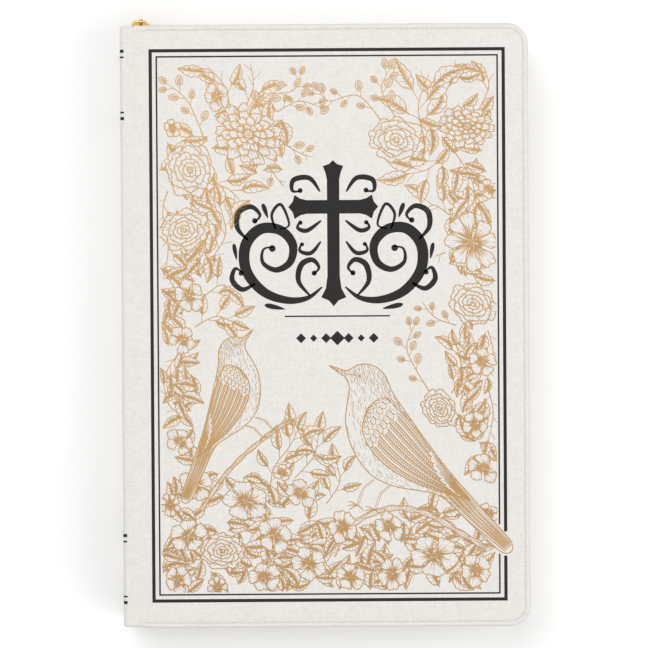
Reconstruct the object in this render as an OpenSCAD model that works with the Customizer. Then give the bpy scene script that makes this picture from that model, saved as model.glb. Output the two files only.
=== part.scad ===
// Zip-around bible, lying on its back cover. Two padded covers fold round a flat spine panel, the
// text block opens at its middle, and a zip runs along the head, the fore edge and the tail.
// +X is the fore edge, +Y the head, +Z the front cover. Origin: middle of the back cover's underside.

/* [Case] */
// Width from the spine to the fore edge
cover_w = 156; // [140:1:170]
// Height from tail to head
cover_h = 231; // [215:1:245]
// Thickness of the closed case
case_t = 38; // [36:1:44]
// Thickness of one padded cover
cover_t = 3; // [2.8:0.1:3.2]
// Corner radius of the covers at the fore edge
corner_r = 8; // [6:0.5:9]

/* [Text block] */
// Distance from a cover's edge to the pages at head and tail
page_margin_y = 8; // [7.8:0.1:12]
// Distance from a cover's edge to the pages at the fore edge
page_margin_x = 8; // [7.8:0.1:12]
// Corner radius of the pages at the fore edge
page_corner_r = 8; // [4:0.5:12]
// Width of the ribbon marker
ribbon_w = 10; // [8:0.5:12]

/* [Zip] */
// Distance from a cover's edge to the middle of the zip
chain_inset = 2; // [1.9:0.1:2.2]
// Distance between one tooth and the next in a row
tooth_pitch = 2; // [1.8:0.1:2.4]
// Length of the slider along the zip
slider_l = 10.6; // [10:0.1:12]
// Length of the pull tab below its pivot
pull_l = 16.5; // [12:0.5:17]
// Width of the pull tab
pull_w = 6; // [5:0.5:7]

/* [Hidden] */

$fn = 64;

// Heights
mid_z = case_t / 2;

// Layers of a cover: an outer skin whose rim is turned in round a board, closed by a lining
skin_t = 0.9;
board_t = 1.5;
lining_t = cover_t - skin_t - board_t;
rim_t = 0.8;
layer_gap = 0.05;
thread_w = 0.5;
thread_t = 0.25;

// Folds: leather rolled round the two fold axes at the spine's edges
fold_r = 1.5;
fold_gap = 0.3;
fold_x = -cover_w / 2 + fold_r;
fold_short = 1;
cover_x0 = fold_x + fold_r + fold_gap;
fold_y = cover_h / 2 - fold_short;

// Spine panel layers, outside to inside
spine_skin_t = 0.9;
spine_board_t = 1.3;
spine_lining_t = 0.8;
spine_skin_end = 0.7;
spine_board_end = 2.1;

// Text block
block_gap = 0.6;
leaf_t = 0.15;
half_gap = 0.1;
page_x0 = fold_x + 5.5;
page_x1 = cover_w / 2 - page_margin_x;
page_y = cover_h / 2 - page_margin_y;
page_z0 = cover_t + block_gap;
half_t = mid_z - half_gap - page_z0;
mull_t = 0.3;
mull_short = 6;
band_r = 0.8;
band_inset = 0.7;
paste_out = 0.4;
ribbon_t = 0.15;
ribbon_lean = 37;
ribbon_out = 4.5;

// Zip tapes and teeth
tape_t = 0.7;
flange_w = 5.3;
tape_x0 = cover_x0 + 3.2;
chain_t = 2.4;
rail_out = 2.3;
rail_h = 1.3;
tooth_l = 1.5;
tooth_w = 0.7;
corner_pitch = 30;
chain_x = cover_w / 2 - chain_inset;
chain_y = cover_h / 2 - chain_inset;
bend_x = cover_w / 2 - corner_r;
bend_y = cover_h / 2 - corner_r;
stop_l = 2;
stop_gap = 1.4;

// Slider, its crown and its pull
slider_x0 = cover_x0 + 0.3;
plate_t = 1.2;
plate_half = 4;
tail_half = 3.6;
shoulder = 3.5;
cavity_half = 1.5;
flange_in = 2.8;
flange_out = 3.5;
flange_lip = 0.9;
crown_r = 0.55;
crown_l = 6.2;
crown_rise = 1.55;
crown_y = chain_y + cavity_half + plate_t + crown_rise;
eye_r = 1.35;
eye_bore = 0.75;
eye_t = 1.4;
eye_x = slider_x0 + 3.7;
pull_t = 1;
pull_back = 1.25;

// The front half mirrors the back half about the middle of the case
module to_front() translate([0, 0, case_t]) mirror([0, 0, 1]) children();

// Outline of a cover layer, set in from the cover's edge, round at the fore edge
module outline(inset, x_start) {
    r = max(corner_r - inset, 1);
    x_end = cover_w / 2 - inset;
    y_end = cover_h / 2 - inset;
    translate([x_start, -y_end]) square([x_end - r - x_start, 2 * y_end]);
    translate([x_start, -y_end + r]) square([x_end - x_start, 2 * (y_end - r)]);
    for (side = [-1, 1]) translate([x_end - r, side * (y_end - r)]) circle(r);
}

// Band along head, fore edge and tail, between two insets and open towards the spine
module band(outer, inner, x_start) difference() {
    outline(outer, x_start);
    outline(inner, x_start - 1);
}

module skin() difference() {
    linear_extrude(cover_t) outline(0, cover_x0);
    translate([0, 0, skin_t]) linear_extrude(cover_t) outline(rim_t, cover_x0 + rim_t);
    translate([0, 0, -thread_t]) linear_extrude(2 * thread_t)
        band(chain_inset - thread_w / 2, chain_inset + thread_w / 2, cover_x0 - 1);
}

module board() translate([0, 0, skin_t]) linear_extrude(board_t)
    outline(rim_t + layer_gap, cover_x0 + rim_t + layer_gap);

module lining() translate([0, 0, skin_t + board_t]) linear_extrude(lining_t)
    outline(rim_t + layer_gap, cover_x0 + rim_t + layer_gap);

// One run of thread laid in the skin's stitching groove
module seam_thread() translate([0, 0, layer_gap]) linear_extrude(thread_t - layer_gap)
    band(chain_inset - thread_w / 2 + layer_gap, chain_inset + thread_w / 2 - layer_gap, cover_x0);

// Outline of the pages, grown by more at head, tail and fore edge
module page_outline(more) {
    r = page_corner_r + more;
    x_end = page_x1 + more;
    y_end = page_y + more;
    translate([page_x0, -y_end]) square([x_end - r - page_x0, 2 * y_end]);
    translate([page_x0, -y_end + r]) square([x_end - page_x0, 2 * (y_end - r)]);
    for (side = [-1, 1]) translate([x_end - r, side * (y_end - r)]) circle(r);
}

module pages() translate([0, 0, page_z0]) linear_extrude(half_t) page_outline(0);

module flyleaf() translate([0, 0, page_z0 - leaf_t]) linear_extrude(leaf_t) page_outline(0);

module pastedown() translate([0, 0, cover_t]) linear_extrude(leaf_t) page_outline(paste_out);

// Bead bands at the head and tail of the block's spine
module headbands() for (side = [-1, 1])
    translate([page_x0 + band_inset, side * (page_y + band_r), page_z0])
        cylinder(r = band_r, h = half_t);

// Cloth glued down the block's spine
module mull() translate([page_x0 - mull_t, mull_short - page_y, page_z0])
    cube([mull_t, 2 * (page_y - mull_short), half_t]);

// Zip tape: a wall standing on the cover's inner side, with its sewn edge turned inwards
module zip_tape() {
    translate([0, 0, cover_t]) linear_extrude(mid_z - rail_out - cover_t)
        band(chain_inset - tape_t / 2, chain_inset + tape_t / 2, tape_x0);
    translate([0, 0, cover_t]) linear_extrude(block_gap)
        band(chain_inset, chain_inset + flange_w, tape_x0);
}

// A rail with a tooth at each pitch, from the origin along +X, teeth towards +Z
module tooth_row(run, phase) {
    last = floor((run - phase - tooth_w) / tooth_pitch);
    top = rail_h + tooth_l;
    teeth = [for (i = [last : -1 : 0]) let (x = phase + i * tooth_pitch)
        each [[x + tooth_w, rail_h], [x + tooth_w, top], [x, top], [x, rail_h]]];
    translate([0, chain_t / 2, mid_z - rail_out]) rotate([90, 0, 0]) linear_extrude(chain_t)
        polygon(concat([[0, 0], [run, 0], [run, rail_h]], teeth, [[0, rail_h]]));
}

module teeth_head(phase) translate([tape_x0, chain_y, 0])
    tooth_row(bend_x - tape_x0, phase);

// The two corners, the fore edge and the tail; the tail row starts a little past x_start
module teeth_run(phase, x_start) {
    corner = chain_x - bend_x;
    for (side = [-1, 1]) translate([bend_x, side * bend_y, mid_z - rail_out])
        mirror([0, side < 0 ? 1 : 0, 0]) {
            rotate_extrude(angle = 90) translate([corner - chain_t / 2, 0]) square([chain_t, rail_h]);
            for (a = [corner_pitch / 2 + phase * corner_pitch / tooth_pitch : corner_pitch : 80])
                rotate(a) translate([corner - chain_t / 2, -tooth_w / 2, 0])
                    cube([chain_t, tooth_w, rail_h + tooth_l]);
        }
    translate([chain_x, -bend_y, 0]) rotate(90) tooth_row(2 * bend_y, phase);
    translate([x_start, -chain_y, 0]) tooth_row(bend_x - x_start, phase + tape_x0 - x_start + tooth_pitch * 2);
}

phase_back = 0.4;
phase_front = phase_back + tooth_pitch / 2;

module back_skin() color("ivory") skin();
module back_board() color("tan") board();
module back_lining() color("linen") lining();
module back_seam_thread() color("cornsilk") seam_thread();
module back_pastedown() color("floralwhite") pastedown();
module back_zip_tape() color("beige") zip_tape();
module back_teeth_head() color("wheat") teeth_head(phase_back);
module back_teeth_run() color("wheat") teeth_run(phase_back, tape_x0 + stop_l);
module back_pages() color("gold") pages();
module back_flyleaf() color("floralwhite") flyleaf();
module back_headbands() color("burlywood") headbands();
module back_mull() color("gainsboro") mull();

module front_skin() color("ivory") to_front() skin();
module front_board() color("tan") to_front() board();
module front_lining() color("linen") to_front() lining();
module front_seam_thread() color("cornsilk") to_front() seam_thread();
module front_pastedown() color("floralwhite") to_front() pastedown();
module front_zip_tape() color("beige") to_front() zip_tape();
module front_teeth_head() color("wheat") to_front() teeth_head(phase_front);
module front_teeth_run() color("wheat") to_front() teeth_run(phase_front, tape_x0 + stop_l + stop_gap);
module front_pages() color("gold") to_front() pages();
module front_flyleaf() color("floralwhite") to_front() flyleaf();
module front_headbands() color("burlywood") to_front() headbands();
module front_mull() color("gainsboro") to_front() mull();

// Block at the spine end of the tail run, where both rows of teeth end
module zip_bottom_stop() color("goldenrod")
    translate([tape_x0, -chain_y - chain_t / 2, mid_z - rail_out])
        cube([stop_l, chain_t, 2 * (rail_out - layer_gap)]);

// Ribbon glued in at the head of the block's spine, lying between the two halves of the block
module ribbon_marker() color("darkgoldenrod")
    translate([page_x0, 0, mid_z - ribbon_t / 2]) linear_extrude(ribbon_t) polygon([
        [1, page_y - 1], [1 + ribbon_w, page_y - 1],
        [1 + ribbon_w + ribbon_lean, -page_y - ribbon_out], [1 + ribbon_lean, -page_y - ribbon_out]
    ]);

module fold() translate([fold_x, fold_y, fold_r]) rotate([90, 0, 0])
    cylinder(r = fold_r, h = 2 * fold_y);

module back_fold() color("ivory") fold();
module front_fold() color("ivory") to_front() fold();

// Outer skin of the spine, its two ends shaped round the folds
module spine_skin() color("ivory") difference() {
    translate([-cover_w / 2, -fold_y, fold_r + spine_skin_end])
        cube([spine_skin_t, 2 * fold_y, case_t - 2 * (fold_r + spine_skin_end)]);
    for (z = [fold_r, case_t - fold_r]) translate([fold_x, fold_y + 1, z]) rotate([90, 0, 0])
        cylinder(r = fold_r + layer_gap, h = 2 * fold_y + 2);
}

module spine_stiffener() color("tan")
    translate([-cover_w / 2 + spine_skin_t, -fold_y + 1, fold_r + spine_board_end])
        cube([spine_board_t, 2 * (fold_y - 1), case_t - 2 * (fold_r + spine_board_end)]);

module spine_lining() color("linen")
    translate([-cover_w / 2 + spine_skin_t + spine_board_t, -fold_y + 1, fold_r + spine_board_end])
        cube([spine_lining_t, 2 * (fold_y - 1), case_t - 2 * (fold_r + spine_board_end)]);

// One plate of the slider with the lips that hold the chain, drawn at the middle of the chain
module slider_plate() {
    translate([0, cavity_half + plate_t, 0]) rotate([90, 0, 0]) linear_extrude(plate_t) polygon([
        [0, -plate_half + 1], [1, -plate_half], [shoulder, -plate_half], [slider_l - 1, -tail_half],
        [slider_l, -tail_half + 1], [slider_l, tail_half - 1], [slider_l - 1, tail_half],
        [shoulder, plate_half], [1, plate_half], [0, plate_half - 1]
    ]);
    for (side = [0, 1]) mirror([0, 0, side])
        translate([1, cavity_half - flange_lip, flange_in])
            cube([slider_l - 2, flange_lip, flange_out - flange_in]);
}

// Slider: two plates joined by the wedge that parts the teeth, and the crown that carries the pull
module slider_body() color("gold") {
    translate([slider_x0, chain_y, mid_z]) {
        slider_plate();
        mirror([0, 1, 0]) slider_plate();
        translate([0, cavity_half, 0]) rotate([90, 0, 0]) linear_extrude(2 * cavity_half)
            polygon([[0, -0.9], [0.8, -1.2], [2, 0], [0.8, 1.2], [0, 0.9]]);
    }
    translate([slider_x0 + crown_r + 0.1, crown_y, mid_z]) {
        rotate([0, 90, 0]) cylinder(r = crown_r, h = crown_l - 2 * crown_r);
        for (x = [0, crown_l - 2 * crown_r]) translate([x, 0, 0]) {
            sphere(r = crown_r);
            rotate([90, 0, 0]) cylinder(r = crown_r, h = crown_rise + plate_t / 2);
        }
    }
}

// Pull: an eye round the crown's bar and a flat tab hanging from it
module pull_tab() color("goldenrod") translate([eye_x, crown_y, mid_z]) {
    difference() {
        rotate([0, 90, 0]) cylinder(r = eye_r, h = eye_t, center = true);
        rotate([0, 90, 0]) cylinder(r = eye_bore, h = eye_t + 1, center = true);
    }
    translate([-eye_t / 2, -pull_back, -3]) cube([eye_t, pull_t, 2.1]);
    translate([0, pull_t - pull_back, 0]) rotate([90, 0, 0]) linear_extrude(pull_t) polygon([
        [-1.2, -2.2], [1.2, -2.2], [pull_w / 2, -5], [pull_w / 2, 2 - pull_l],
        [pull_w / 2 - 1.6, -pull_l], [1.6 - pull_w / 2, -pull_l],
        [-pull_w / 2, 2 - pull_l], [-pull_w / 2, -5]
    ]);
}

back_skin();
back_board();
back_lining();
back_seam_thread();
back_pastedown();
back_zip_tape();
back_teeth_head();
back_teeth_run();
zip_bottom_stop();
back_pages();
back_flyleaf();
back_headbands();
back_mull();
ribbon_marker();
spine_skin();
spine_stiffener();
spine_lining();
front_fold();
back_fold();
front_skin();
front_board();
front_lining();
front_seam_thread();
front_pastedown();
front_zip_tape();
front_teeth_head();
front_teeth_run();
front_pages();
front_flyleaf();
front_headbands();
front_mull();
slider_body();
pull_tab();
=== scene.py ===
import math
import random

import bmesh
import bpy
import numpy as np
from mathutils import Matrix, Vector


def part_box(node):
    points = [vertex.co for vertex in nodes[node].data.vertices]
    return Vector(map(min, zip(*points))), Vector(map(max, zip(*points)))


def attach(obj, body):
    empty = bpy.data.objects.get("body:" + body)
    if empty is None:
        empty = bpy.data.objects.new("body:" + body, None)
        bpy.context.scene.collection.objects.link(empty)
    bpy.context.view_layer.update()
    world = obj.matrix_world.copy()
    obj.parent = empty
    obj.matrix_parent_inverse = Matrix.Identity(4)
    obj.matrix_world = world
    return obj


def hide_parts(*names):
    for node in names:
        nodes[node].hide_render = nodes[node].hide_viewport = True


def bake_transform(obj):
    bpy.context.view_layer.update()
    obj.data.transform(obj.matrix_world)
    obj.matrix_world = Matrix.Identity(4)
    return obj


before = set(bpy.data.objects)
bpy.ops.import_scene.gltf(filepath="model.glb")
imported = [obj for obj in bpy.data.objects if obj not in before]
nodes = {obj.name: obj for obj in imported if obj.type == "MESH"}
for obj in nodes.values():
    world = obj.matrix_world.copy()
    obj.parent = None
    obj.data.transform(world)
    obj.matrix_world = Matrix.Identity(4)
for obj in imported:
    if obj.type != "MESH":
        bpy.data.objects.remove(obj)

scene = bpy.context.scene
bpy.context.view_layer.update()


def boxMm(node):
    return [[value * 1000 for value in corner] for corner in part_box(node)]


# The case, read from the frame, in millimetres
skinLow, skinHigh = boxMm("front_skin")
foldLow, foldHigh = boxMm("front_fold")
topZ = skinHigh[2]
foreX = skinHigh[0]
headY = skinHigh[1]
spineX = foldLow[0]
foldRadius = (foldHigh[2] - foldLow[2]) / 2
foldX = foldLow[0] + foldRadius
cornerRadius = 8.0
spineDip = 0.5  # the head and tail edges draw in by this much at the spine
seamX = skinLow[0] + 1.7  # where a cover's skin meets the fold
seamZ = 5.0  # where the fold meets the spine's skin, from the outer face


def smooth(t):
    t = min(max(t, 0), 1)
    return t * t * (3 - 2 * t)


# Shaders: Value does maths on a socket, and Paint.node makes every node
class Value:
    def __init__(self, paint, socket):
        self.paint = paint
        self.socket = socket

    def __add__(self, other):
        return self.paint.maths("ADD", self, other)

    def __radd__(self, other):
        return self.paint.maths("ADD", other, self)

    def __sub__(self, other):
        return self.paint.maths("SUBTRACT", self, other)

    def __rsub__(self, other):
        return self.paint.maths("SUBTRACT", other, self)

    def __mul__(self, other):
        return self.paint.maths("MULTIPLY", self, other)

    def __rmul__(self, other):
        return self.paint.maths("MULTIPLY", other, self)

    def __gt__(self, other):
        return self.paint.maths("GREATER_THAN", self, other)


class Paint:
    def __init__(self, name, **constants):
        self.material = bpy.data.materials.new(name)
        self.material.use_nodes = True
        self.tree = self.material.node_tree
        self.surface = self.tree.nodes["Principled BSDF"]
        for key, value in constants.items():
            self.surface.inputs[key.replace("_", " ")].default_value = value
        self.place = self.node("TexCoord", {}, {}, "Object")

    def node(self, kind, settings, sockets, output=0):
        made = self.tree.nodes.new("ShaderNode" + kind)
        for key, value in settings.items():
            if key == "stops":
                self.fillRamp(made.color_ramp, value)
            else:
                setattr(made, key, value)
        for key, value in sockets.items():
            self.plug(made.inputs[key], value)
        return Value(self, made.outputs[output])

    def fillRamp(self, ramp, stops):
        while len(ramp.elements) < len(stops):
            ramp.elements.new(0.5)
        for element, (position, colour) in zip(ramp.elements, stops):
            element.position = position
            element.color = (*colour, 1)

    def plug(self, socket, value):
        if isinstance(value, Value):
            self.tree.links.new(value.socket, socket)
        else:
            socket.default_value = value

    def shine(self, **values):
        # plugs the finished look into the surface
        for key, value in values.items():
            self.plug(self.surface.inputs[key.replace("_", " ")], value)
        return self.material

    def noise(self, size, stretch=(1, 1, 1), detail=2):
        # size is the feature size in millimetres, stretch lengthens it along each axis
        scale = tuple(1 / s for s in stretch)
        moved = self.node("Mapping", {}, {"Vector": self.place, "Scale": scale})
        sockets = {"Vector": moved, "Scale": 1000 / size, "Detail": detail}
        return self.node("TexNoise", {"normalize": True}, sockets)

    def weave(self, size, reach=4, detail=2, side=1):
        # threads that lie along X and along Y
        across = self.noise(size, (reach, side, 1), detail)
        return across * 0.5 + self.noise(size, (side, reach, 1), detail) * 0.5

    def ramp(self, value, stops):
        return self.node("ValToRGB", {"stops": stops}, {0: value})

    def mix(self, factor, first, second):
        first = first if isinstance(first, Value) else (*first, 1)
        second = second if isinstance(second, Value) else (*second, 1)
        return self.node("Mix", {"data_type": "RGBA"}, {0: factor, 6: first, 7: second}, 2)

    def bump(self, height, depth, under=None):
        # depth in millimetres
        sockets = {"Height": height, "Distance": depth / 1000, "Strength": 1}
        if under:
            sockets["Normal"] = under
        return self.node("Bump", {}, sockets)

    def axis(self, letter):
        return self.node("SeparateXYZ", {}, {0: self.place}, letter)

    def stripes(self, value, pitch):
        # 0 to 1 and back once a pitch, in millimetres
        return self.maths("PINGPONG", value * (2000 / pitch), 1)

    def maths(self, operation, first, second=0.0):
        return self.node("Math", {"operation": operation}, {0: first, 1: second})


def paintLinen(name, light, dark, grain):
    # imitation leather with a fine linen weave pressed into it
    paint = Paint(name, Roughness=0.62, Specular_IOR_Level=0.35)
    weave = paint.weave(grain, 7, 3)
    slub = paint.weave(grain * 2.2, 9, 2, 1.2)
    tone = weave * 0.72 + slub * 0.28
    colour = paint.ramp(tone, [(0.36, dark), (0.56, light)])
    cloud = paint.noise(30, detail=3)
    colour = paint.mix(cloud * 0.07, colour, dark)
    coarse = paint.bump(slub, 0.05)
    return paint.shine(Base_Color=colour, Roughness=0.55 + tone * 0.2, Normal=paint.bump(weave, 0.10, coarse))


def paintThread(name, light, dark):
    paint = Paint(name, Roughness=0.6, Sheen_Weight=0.3)
    twist = paint.noise(0.12, (2.5, 1, 1))
    fuzz = paint.noise(0.6)
    colour = paint.mix(twist * 0.6 + fuzz * 0.3, light, dark)
    return paint.shine(Base_Color=colour, Normal=paint.bump(twist, 0.05))


def paintPrint(name, colour, edge):
    # foil-black print, slightly broken by the grain under it; the same finish also carries the painted shade
    # in the needle holes
    paint = Paint(name, Roughness=0.5, Specular_IOR_Level=0.05)
    weave = paint.weave(0.5)
    wear = paint.noise(3, detail=4)
    shade = paint.mix(weave * 0.7 + wear * 0.3, colour, edge)
    return paint.shine(Base_Color=shade, Roughness=0.4 + wear * 0.3, Normal=paint.bump(weave, 0.05))


def paintFoil(name, light, dark):
    # stamped metal foil, which takes the grain of the skin
    paint = Paint(name, Metallic=0.82, Roughness=0.38)
    weave = paint.weave(0.5)
    drift = paint.noise(14, detail=3)
    colour = paint.mix(drift * 0.6 + weave * 0.4, light, dark)
    return paint.shine(Base_Color=colour, Roughness=0.3 + weave * 0.22, Normal=paint.bump(weave, 0.05))


def paintMetal(name, light, dark, rough):
    paint = Paint(name, Metallic=1.0, Roughness=rough, Coat_Weight=0.15)
    smear = paint.noise(2.2, (1, 1, 3), 4)
    scratch = paint.noise(0.08, (1, 1, 14), 2)
    colour = paint.mix(smear * 0.7, light, dark)
    roughness = rough * 0.7 + smear * 0.12 + scratch * 0.10
    return paint.shine(Base_Color=colour, Roughness=roughness, Normal=paint.bump(scratch, 0.004))


def paintTape(name, light, dark):
    # herringbone tape: slanting ribs that turn over in columns
    paint = Paint(name, Roughness=0.85, Sheen_Weight=0.25)
    run = paint.axis("X") + paint.axis("Y")
    rise = paint.axis("Z")
    zigzag = paint.stripes(rise, 2.4) * 0.0009
    rib = paint.stripes(run + zigzag, 0.55)
    fuzz = paint.noise(0.25)
    colour = paint.mix(rib * 0.55 + fuzz * 0.4, dark, light)
    return paint.shine(Base_Color=colour, Normal=paint.bump(rib + fuzz * 0.6, 0.12))


def paintCloth(name, light, dark, pitch):
    # plain weave for linings, headband cores and spine cloth
    paint = Paint(name, Roughness=0.8, Sheen_Weight=0.2)
    warp = paint.stripes(paint.axis("X") + paint.axis("Z"), pitch)
    weft = paint.stripes(paint.axis("Y"), pitch)
    fuzz = paint.noise(0.5, detail=4)
    weave = warp * 0.4 + weft * 0.4 + fuzz * 0.4
    colour = paint.mix(weave, dark, light)
    return paint.shine(Base_Color=colour, Normal=paint.bump(weave, 0.06))


def paintPlastic(name, light, dark):
    paint = Paint(name, Roughness=0.42)
    speck = paint.noise(0.9, detail=4)
    colour = paint.mix(speck, light, dark)
    return paint.shine(Base_Color=colour, Roughness=0.32 + speck * 0.2, Normal=paint.bump(speck, 0.02))


def paintBoard(name, light, dark):
    paint = Paint(name, Roughness=0.95)
    fibre = paint.noise(0.4, (3, 1, 1), 5)
    fleck = paint.noise(1.6, detail=4)
    colour = paint.mix(fibre * 0.6 + fleck * 0.4, light, dark)
    return paint.shine(Base_Color=colour, Normal=paint.bump(fibre, 0.05))


def paintPaper(name, light, dark):
    paint = Paint(name, Roughness=0.85)
    fibre = paint.noise(0.7, (2, 1, 1), 5)
    cloud = paint.noise(12, detail=3)
    colour = paint.mix(fibre * 0.5 + cloud * 0.5, light, dark)
    return paint.shine(Base_Color=colour, Roughness=0.75 + fibre * 0.15, Normal=paint.bump(fibre, 0.015))


def paintBand(name, light, dark):
    # silk wound round a cord in two colours
    paint = Paint(name, Roughness=0.45, Sheen_Weight=0.3)
    turn = paint.stripes(paint.axis("Z"), 3.6)
    fibre = paint.noise(0.10, (3, 3, 1))
    colour = paint.mix(turn > 0.5, light, dark)
    colour = paint.mix(fibre * 0.35, colour, (0.30, 0.20, 0.08))
    return paint.shine(Base_Color=colour, Normal=paint.bump(fibre, 0.03))


def paintPage(name, paper, ink):
    # an open page: two columns of broken grey lines that stand for print, with no letters
    paint = Paint(name, Roughness=0.88)
    x, y = paint.axis("X"), paint.axis("Y")
    line = paint.stripes(y, 2.9) > 0.62
    words = paint.noise(1.5, (1.6, 0.5, 1), 1) > 0.42
    fromMiddle = paint.maths("ABSOLUTE", x + 0.001)
    column = (fromMiddle > 0.003) * (0.060 - fromMiddle > 0.0)
    page = 0.094 - paint.maths("ABSOLUTE", y) > 0.0
    fibre = paint.noise(0.7, (2, 1, 1), 5)
    sheet = paint.mix(fibre * 0.4, paper, (0.74, 0.69, 0.60))
    mark = line * words * column * page * (0.55 + fibre * 0.4)
    return paint.shine(Base_Color=paint.mix(mark, sheet, ink), Normal=paint.bump(fibre, 0.012))


def paintGilt(name, light, dark):
    # gilded page edges: fine leaf lines, with the gold rubbed thin here and there
    paint = Paint(name, Roughness=0.36, Metallic=0.85)
    leaves = paint.noise(0.09, (60, 60, 1), 3)
    rub = paint.noise(6, (1, 1, 0.5), 4)
    colour = paint.mix(leaves * 0.7 + rub * 0.3, light, dark)
    shine = 0.28 + leaves * 0.25
    return paint.shine(Base_Color=colour, Roughness=shine, Normal=paint.bump(leaves, 0.06))


def paintSatin(name, light, dark):
    paint = Paint(name, Roughness=0.4, Sheen_Weight=0.4)
    rib = paint.noise(0.16, (1, 40, 1), 2)
    sheen = paint.noise(9, (1, 2, 1), 2)
    colour = paint.mix(rib * 0.5 + sheen * 0.5, light, dark)
    return paint.shine(Base_Color=colour, Roughness=0.3 + rib * 0.2, Normal=paint.bump(rib, 0.03))


print("stage: materials")
linen = paintLinen("linen_skin", (0.70, 0.68, 0.65), (0.60, 0.575, 0.54), 0.30)
threadPaint = paintThread("cream_thread", (0.74, 0.72, 0.67), (0.56, 0.53, 0.48))
# painted shade: the needle holes are coloured dark for the shade that falls inside them
holeShadePaint = paintPrint("needle_hole_shade", (0.20, 0.18, 0.155), (0.30, 0.275, 0.24))
blackPrint = paintPrint("black_print", (0.017, 0.016, 0.016), (0.036, 0.034, 0.033))
goldFoil = paintFoil("gold_foil", (0.47, 0.29, 0.13), (0.345, 0.205, 0.085))
goldMetal = paintMetal("gold_plate", (0.80, 0.57, 0.22), (0.42, 0.27, 0.09), 0.22)
tapePaint = paintTape("zip_tape", (0.84, 0.81, 0.74), (0.62, 0.58, 0.50))
teethPaint = paintPlastic("zip_teeth", (0.84, 0.80, 0.70), (0.70, 0.65, 0.54))
liningPaint = paintCloth("case_lining", (0.82, 0.79, 0.73), (0.62, 0.58, 0.51), 0.8)
mullPaint = paintCloth("spine_cloth", (0.86, 0.84, 0.79), (0.55, 0.52, 0.46), 1.4)
boardPaint = paintBoard("greyboard", (0.40, 0.33, 0.24), (0.24, 0.19, 0.13))
paperPaint = paintPaper("endpaper", (0.90, 0.87, 0.79), (0.80, 0.75, 0.65))
giltPaint = paintGilt("gilt_edges", (0.88, 0.64, 0.30), (0.55, 0.36, 0.14))
bandPaint = paintBand("headband_silk", (0.80, 0.56, 0.22), (0.86, 0.82, 0.72))
pagePaint = paintPage("printed_page", (0.88, 0.85, 0.78), (0.10, 0.09, 0.09))
ribbonPaint = paintSatin("ribbon_satin", (0.76, 0.52, 0.22), (0.52, 0.33, 0.12))


# Meshes, with their points in millimetres
def linked(name, data):
    made = bpy.data.objects.new(name, data)
    scene.collection.objects.link(made)
    return made


def shadeSmooth(mesh, sharpAngle):
    mesh.polygons.foreach_set("use_smooth", [True] * len(mesh.polygons))
    mesh.set_sharp_from_angle(angle=math.radians(sharpAngle))


def newPiece(name, points, faces, material, sharpAngle=35, recalculate=True):
    mesh = bpy.data.meshes.new(name)
    mesh.from_pydata([(x / 1000, y / 1000, z / 1000) for x, y, z in points], [], faces)
    if recalculate:
        tidyMesh = bmesh.new()
        tidyMesh.from_mesh(mesh)
        bmesh.ops.recalc_face_normals(tidyMesh, faces=tidyMesh.faces)
        tidyMesh.to_mesh(mesh)
        tidyMesh.free()
    shadeSmooth(mesh, sharpAngle)
    mesh.materials.append(material)
    return linked(name, mesh)


def flipHeight(points):
    return [(x, y, topZ - z) for x, y, z in points]


def loftRings(rings, closed):
    # joins rows of points of equal length into quads
    points = [point for ring in rings for point in ring]
    size = len(rings[0])
    faces = []
    for row in range(len(rings) - 1):
        for i in range(size if closed else size - 1):
            j = (i + 1) % size
            a, b = row * size, (row + 1) * size
            faces.append((a + i, a + j, b + j, b + i))
    return points, faces


def tube(rings):
    # closed rings joined, with a face over each end
    points, faces = loftRings(rings, True)
    size = len(rings[0])
    return points, faces + [list(range(size)), [len(points) - size + i for i in range(size)]]


def gather(parts):
    # one list of points and one of faces from several
    points, faces = [], []
    for partPoints, partFaces in parts:
        faces += [tuple(index + len(points) for index in face) for face in partFaces]
        points += partPoints
    return points, faces


def turns(count):
    # the angles of evenly spaced points round a circle
    return [2 * math.pi * k / count for k in range(count)]


def headings(line):
    # the unit direction at each point of a flat path
    along = np.gradient(line, axis=0)
    return along / np.maximum(np.hypot(*along.T), 1e-9)[:, None]


# Covers: closed pans of skin with a rounded, stitched edge
coverLook = {
    # distance in from the edge, depth below the face; the third value is 1 in the stitched groove
    "rim": [(0.8, 2.98, 0), (0.25, 2.98, 0), (0.0, 2.7, 0)],
    "edge": [(0.0, 1.2, 0), (0.12, 0.65, 0), (0.4, 0.25, 0), (0.8, 0.05, 0), (1.2, 0.0, 0)],
    "groove": [(1.55, 0.07, 1), (1.85, 0.22, 1), (2.0, 0.26, 1), (2.15, 0.22, 1), (2.5, 0.10, 1),
               (3.1, 0.02, 1), (4.2, 0.0, 1)],
    "skinThickness": 0.9, "foldThickness": 1.25, "foldInset": 0.7, "arcSteps": 12,
}
rimInset, rimDepth, _ = coverLook["rim"][0]


def edgeY(x):
    # the head edge, drawn in a little towards the spine
    return headY - spineDip * (1 - smooth((x - seamX) / 7))


def edgePath(inset, startX):
    # along the head, round the corner, down the fore edge, round the corner and back along the tail
    radius = cornerRadius - inset
    bendX = foreX - cornerRadius
    bendY = headY - cornerRadius
    near = [startX + step for step in (0, 1, 2, 3, 4, 5.5, 7)]
    runs = int((bendX - near[-1]) / 8)
    far = [near[-1] + (bendX - near[-1]) * i / runs for i in range(1, runs + 1)]
    half = [(x, edgeY(x) - inset) for x in near + far]
    for i in range(1, coverLook["arcSteps"] + 1):
        turn = math.pi / 2 * (1 - i / coverLook["arcSteps"])
        half.append((bendX + radius * math.cos(turn), bendY + radius * math.sin(turn)))
    half += [(foreX - inset, bendY * (1 - i / 12)) for i in range(1, 12)]
    return half + [(foreX - inset, 0)] + [(x, -y) for x, y in reversed(half)]


def grooveDepth(x):
    return smooth((x - seamX - 0.5) / 3)


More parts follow.
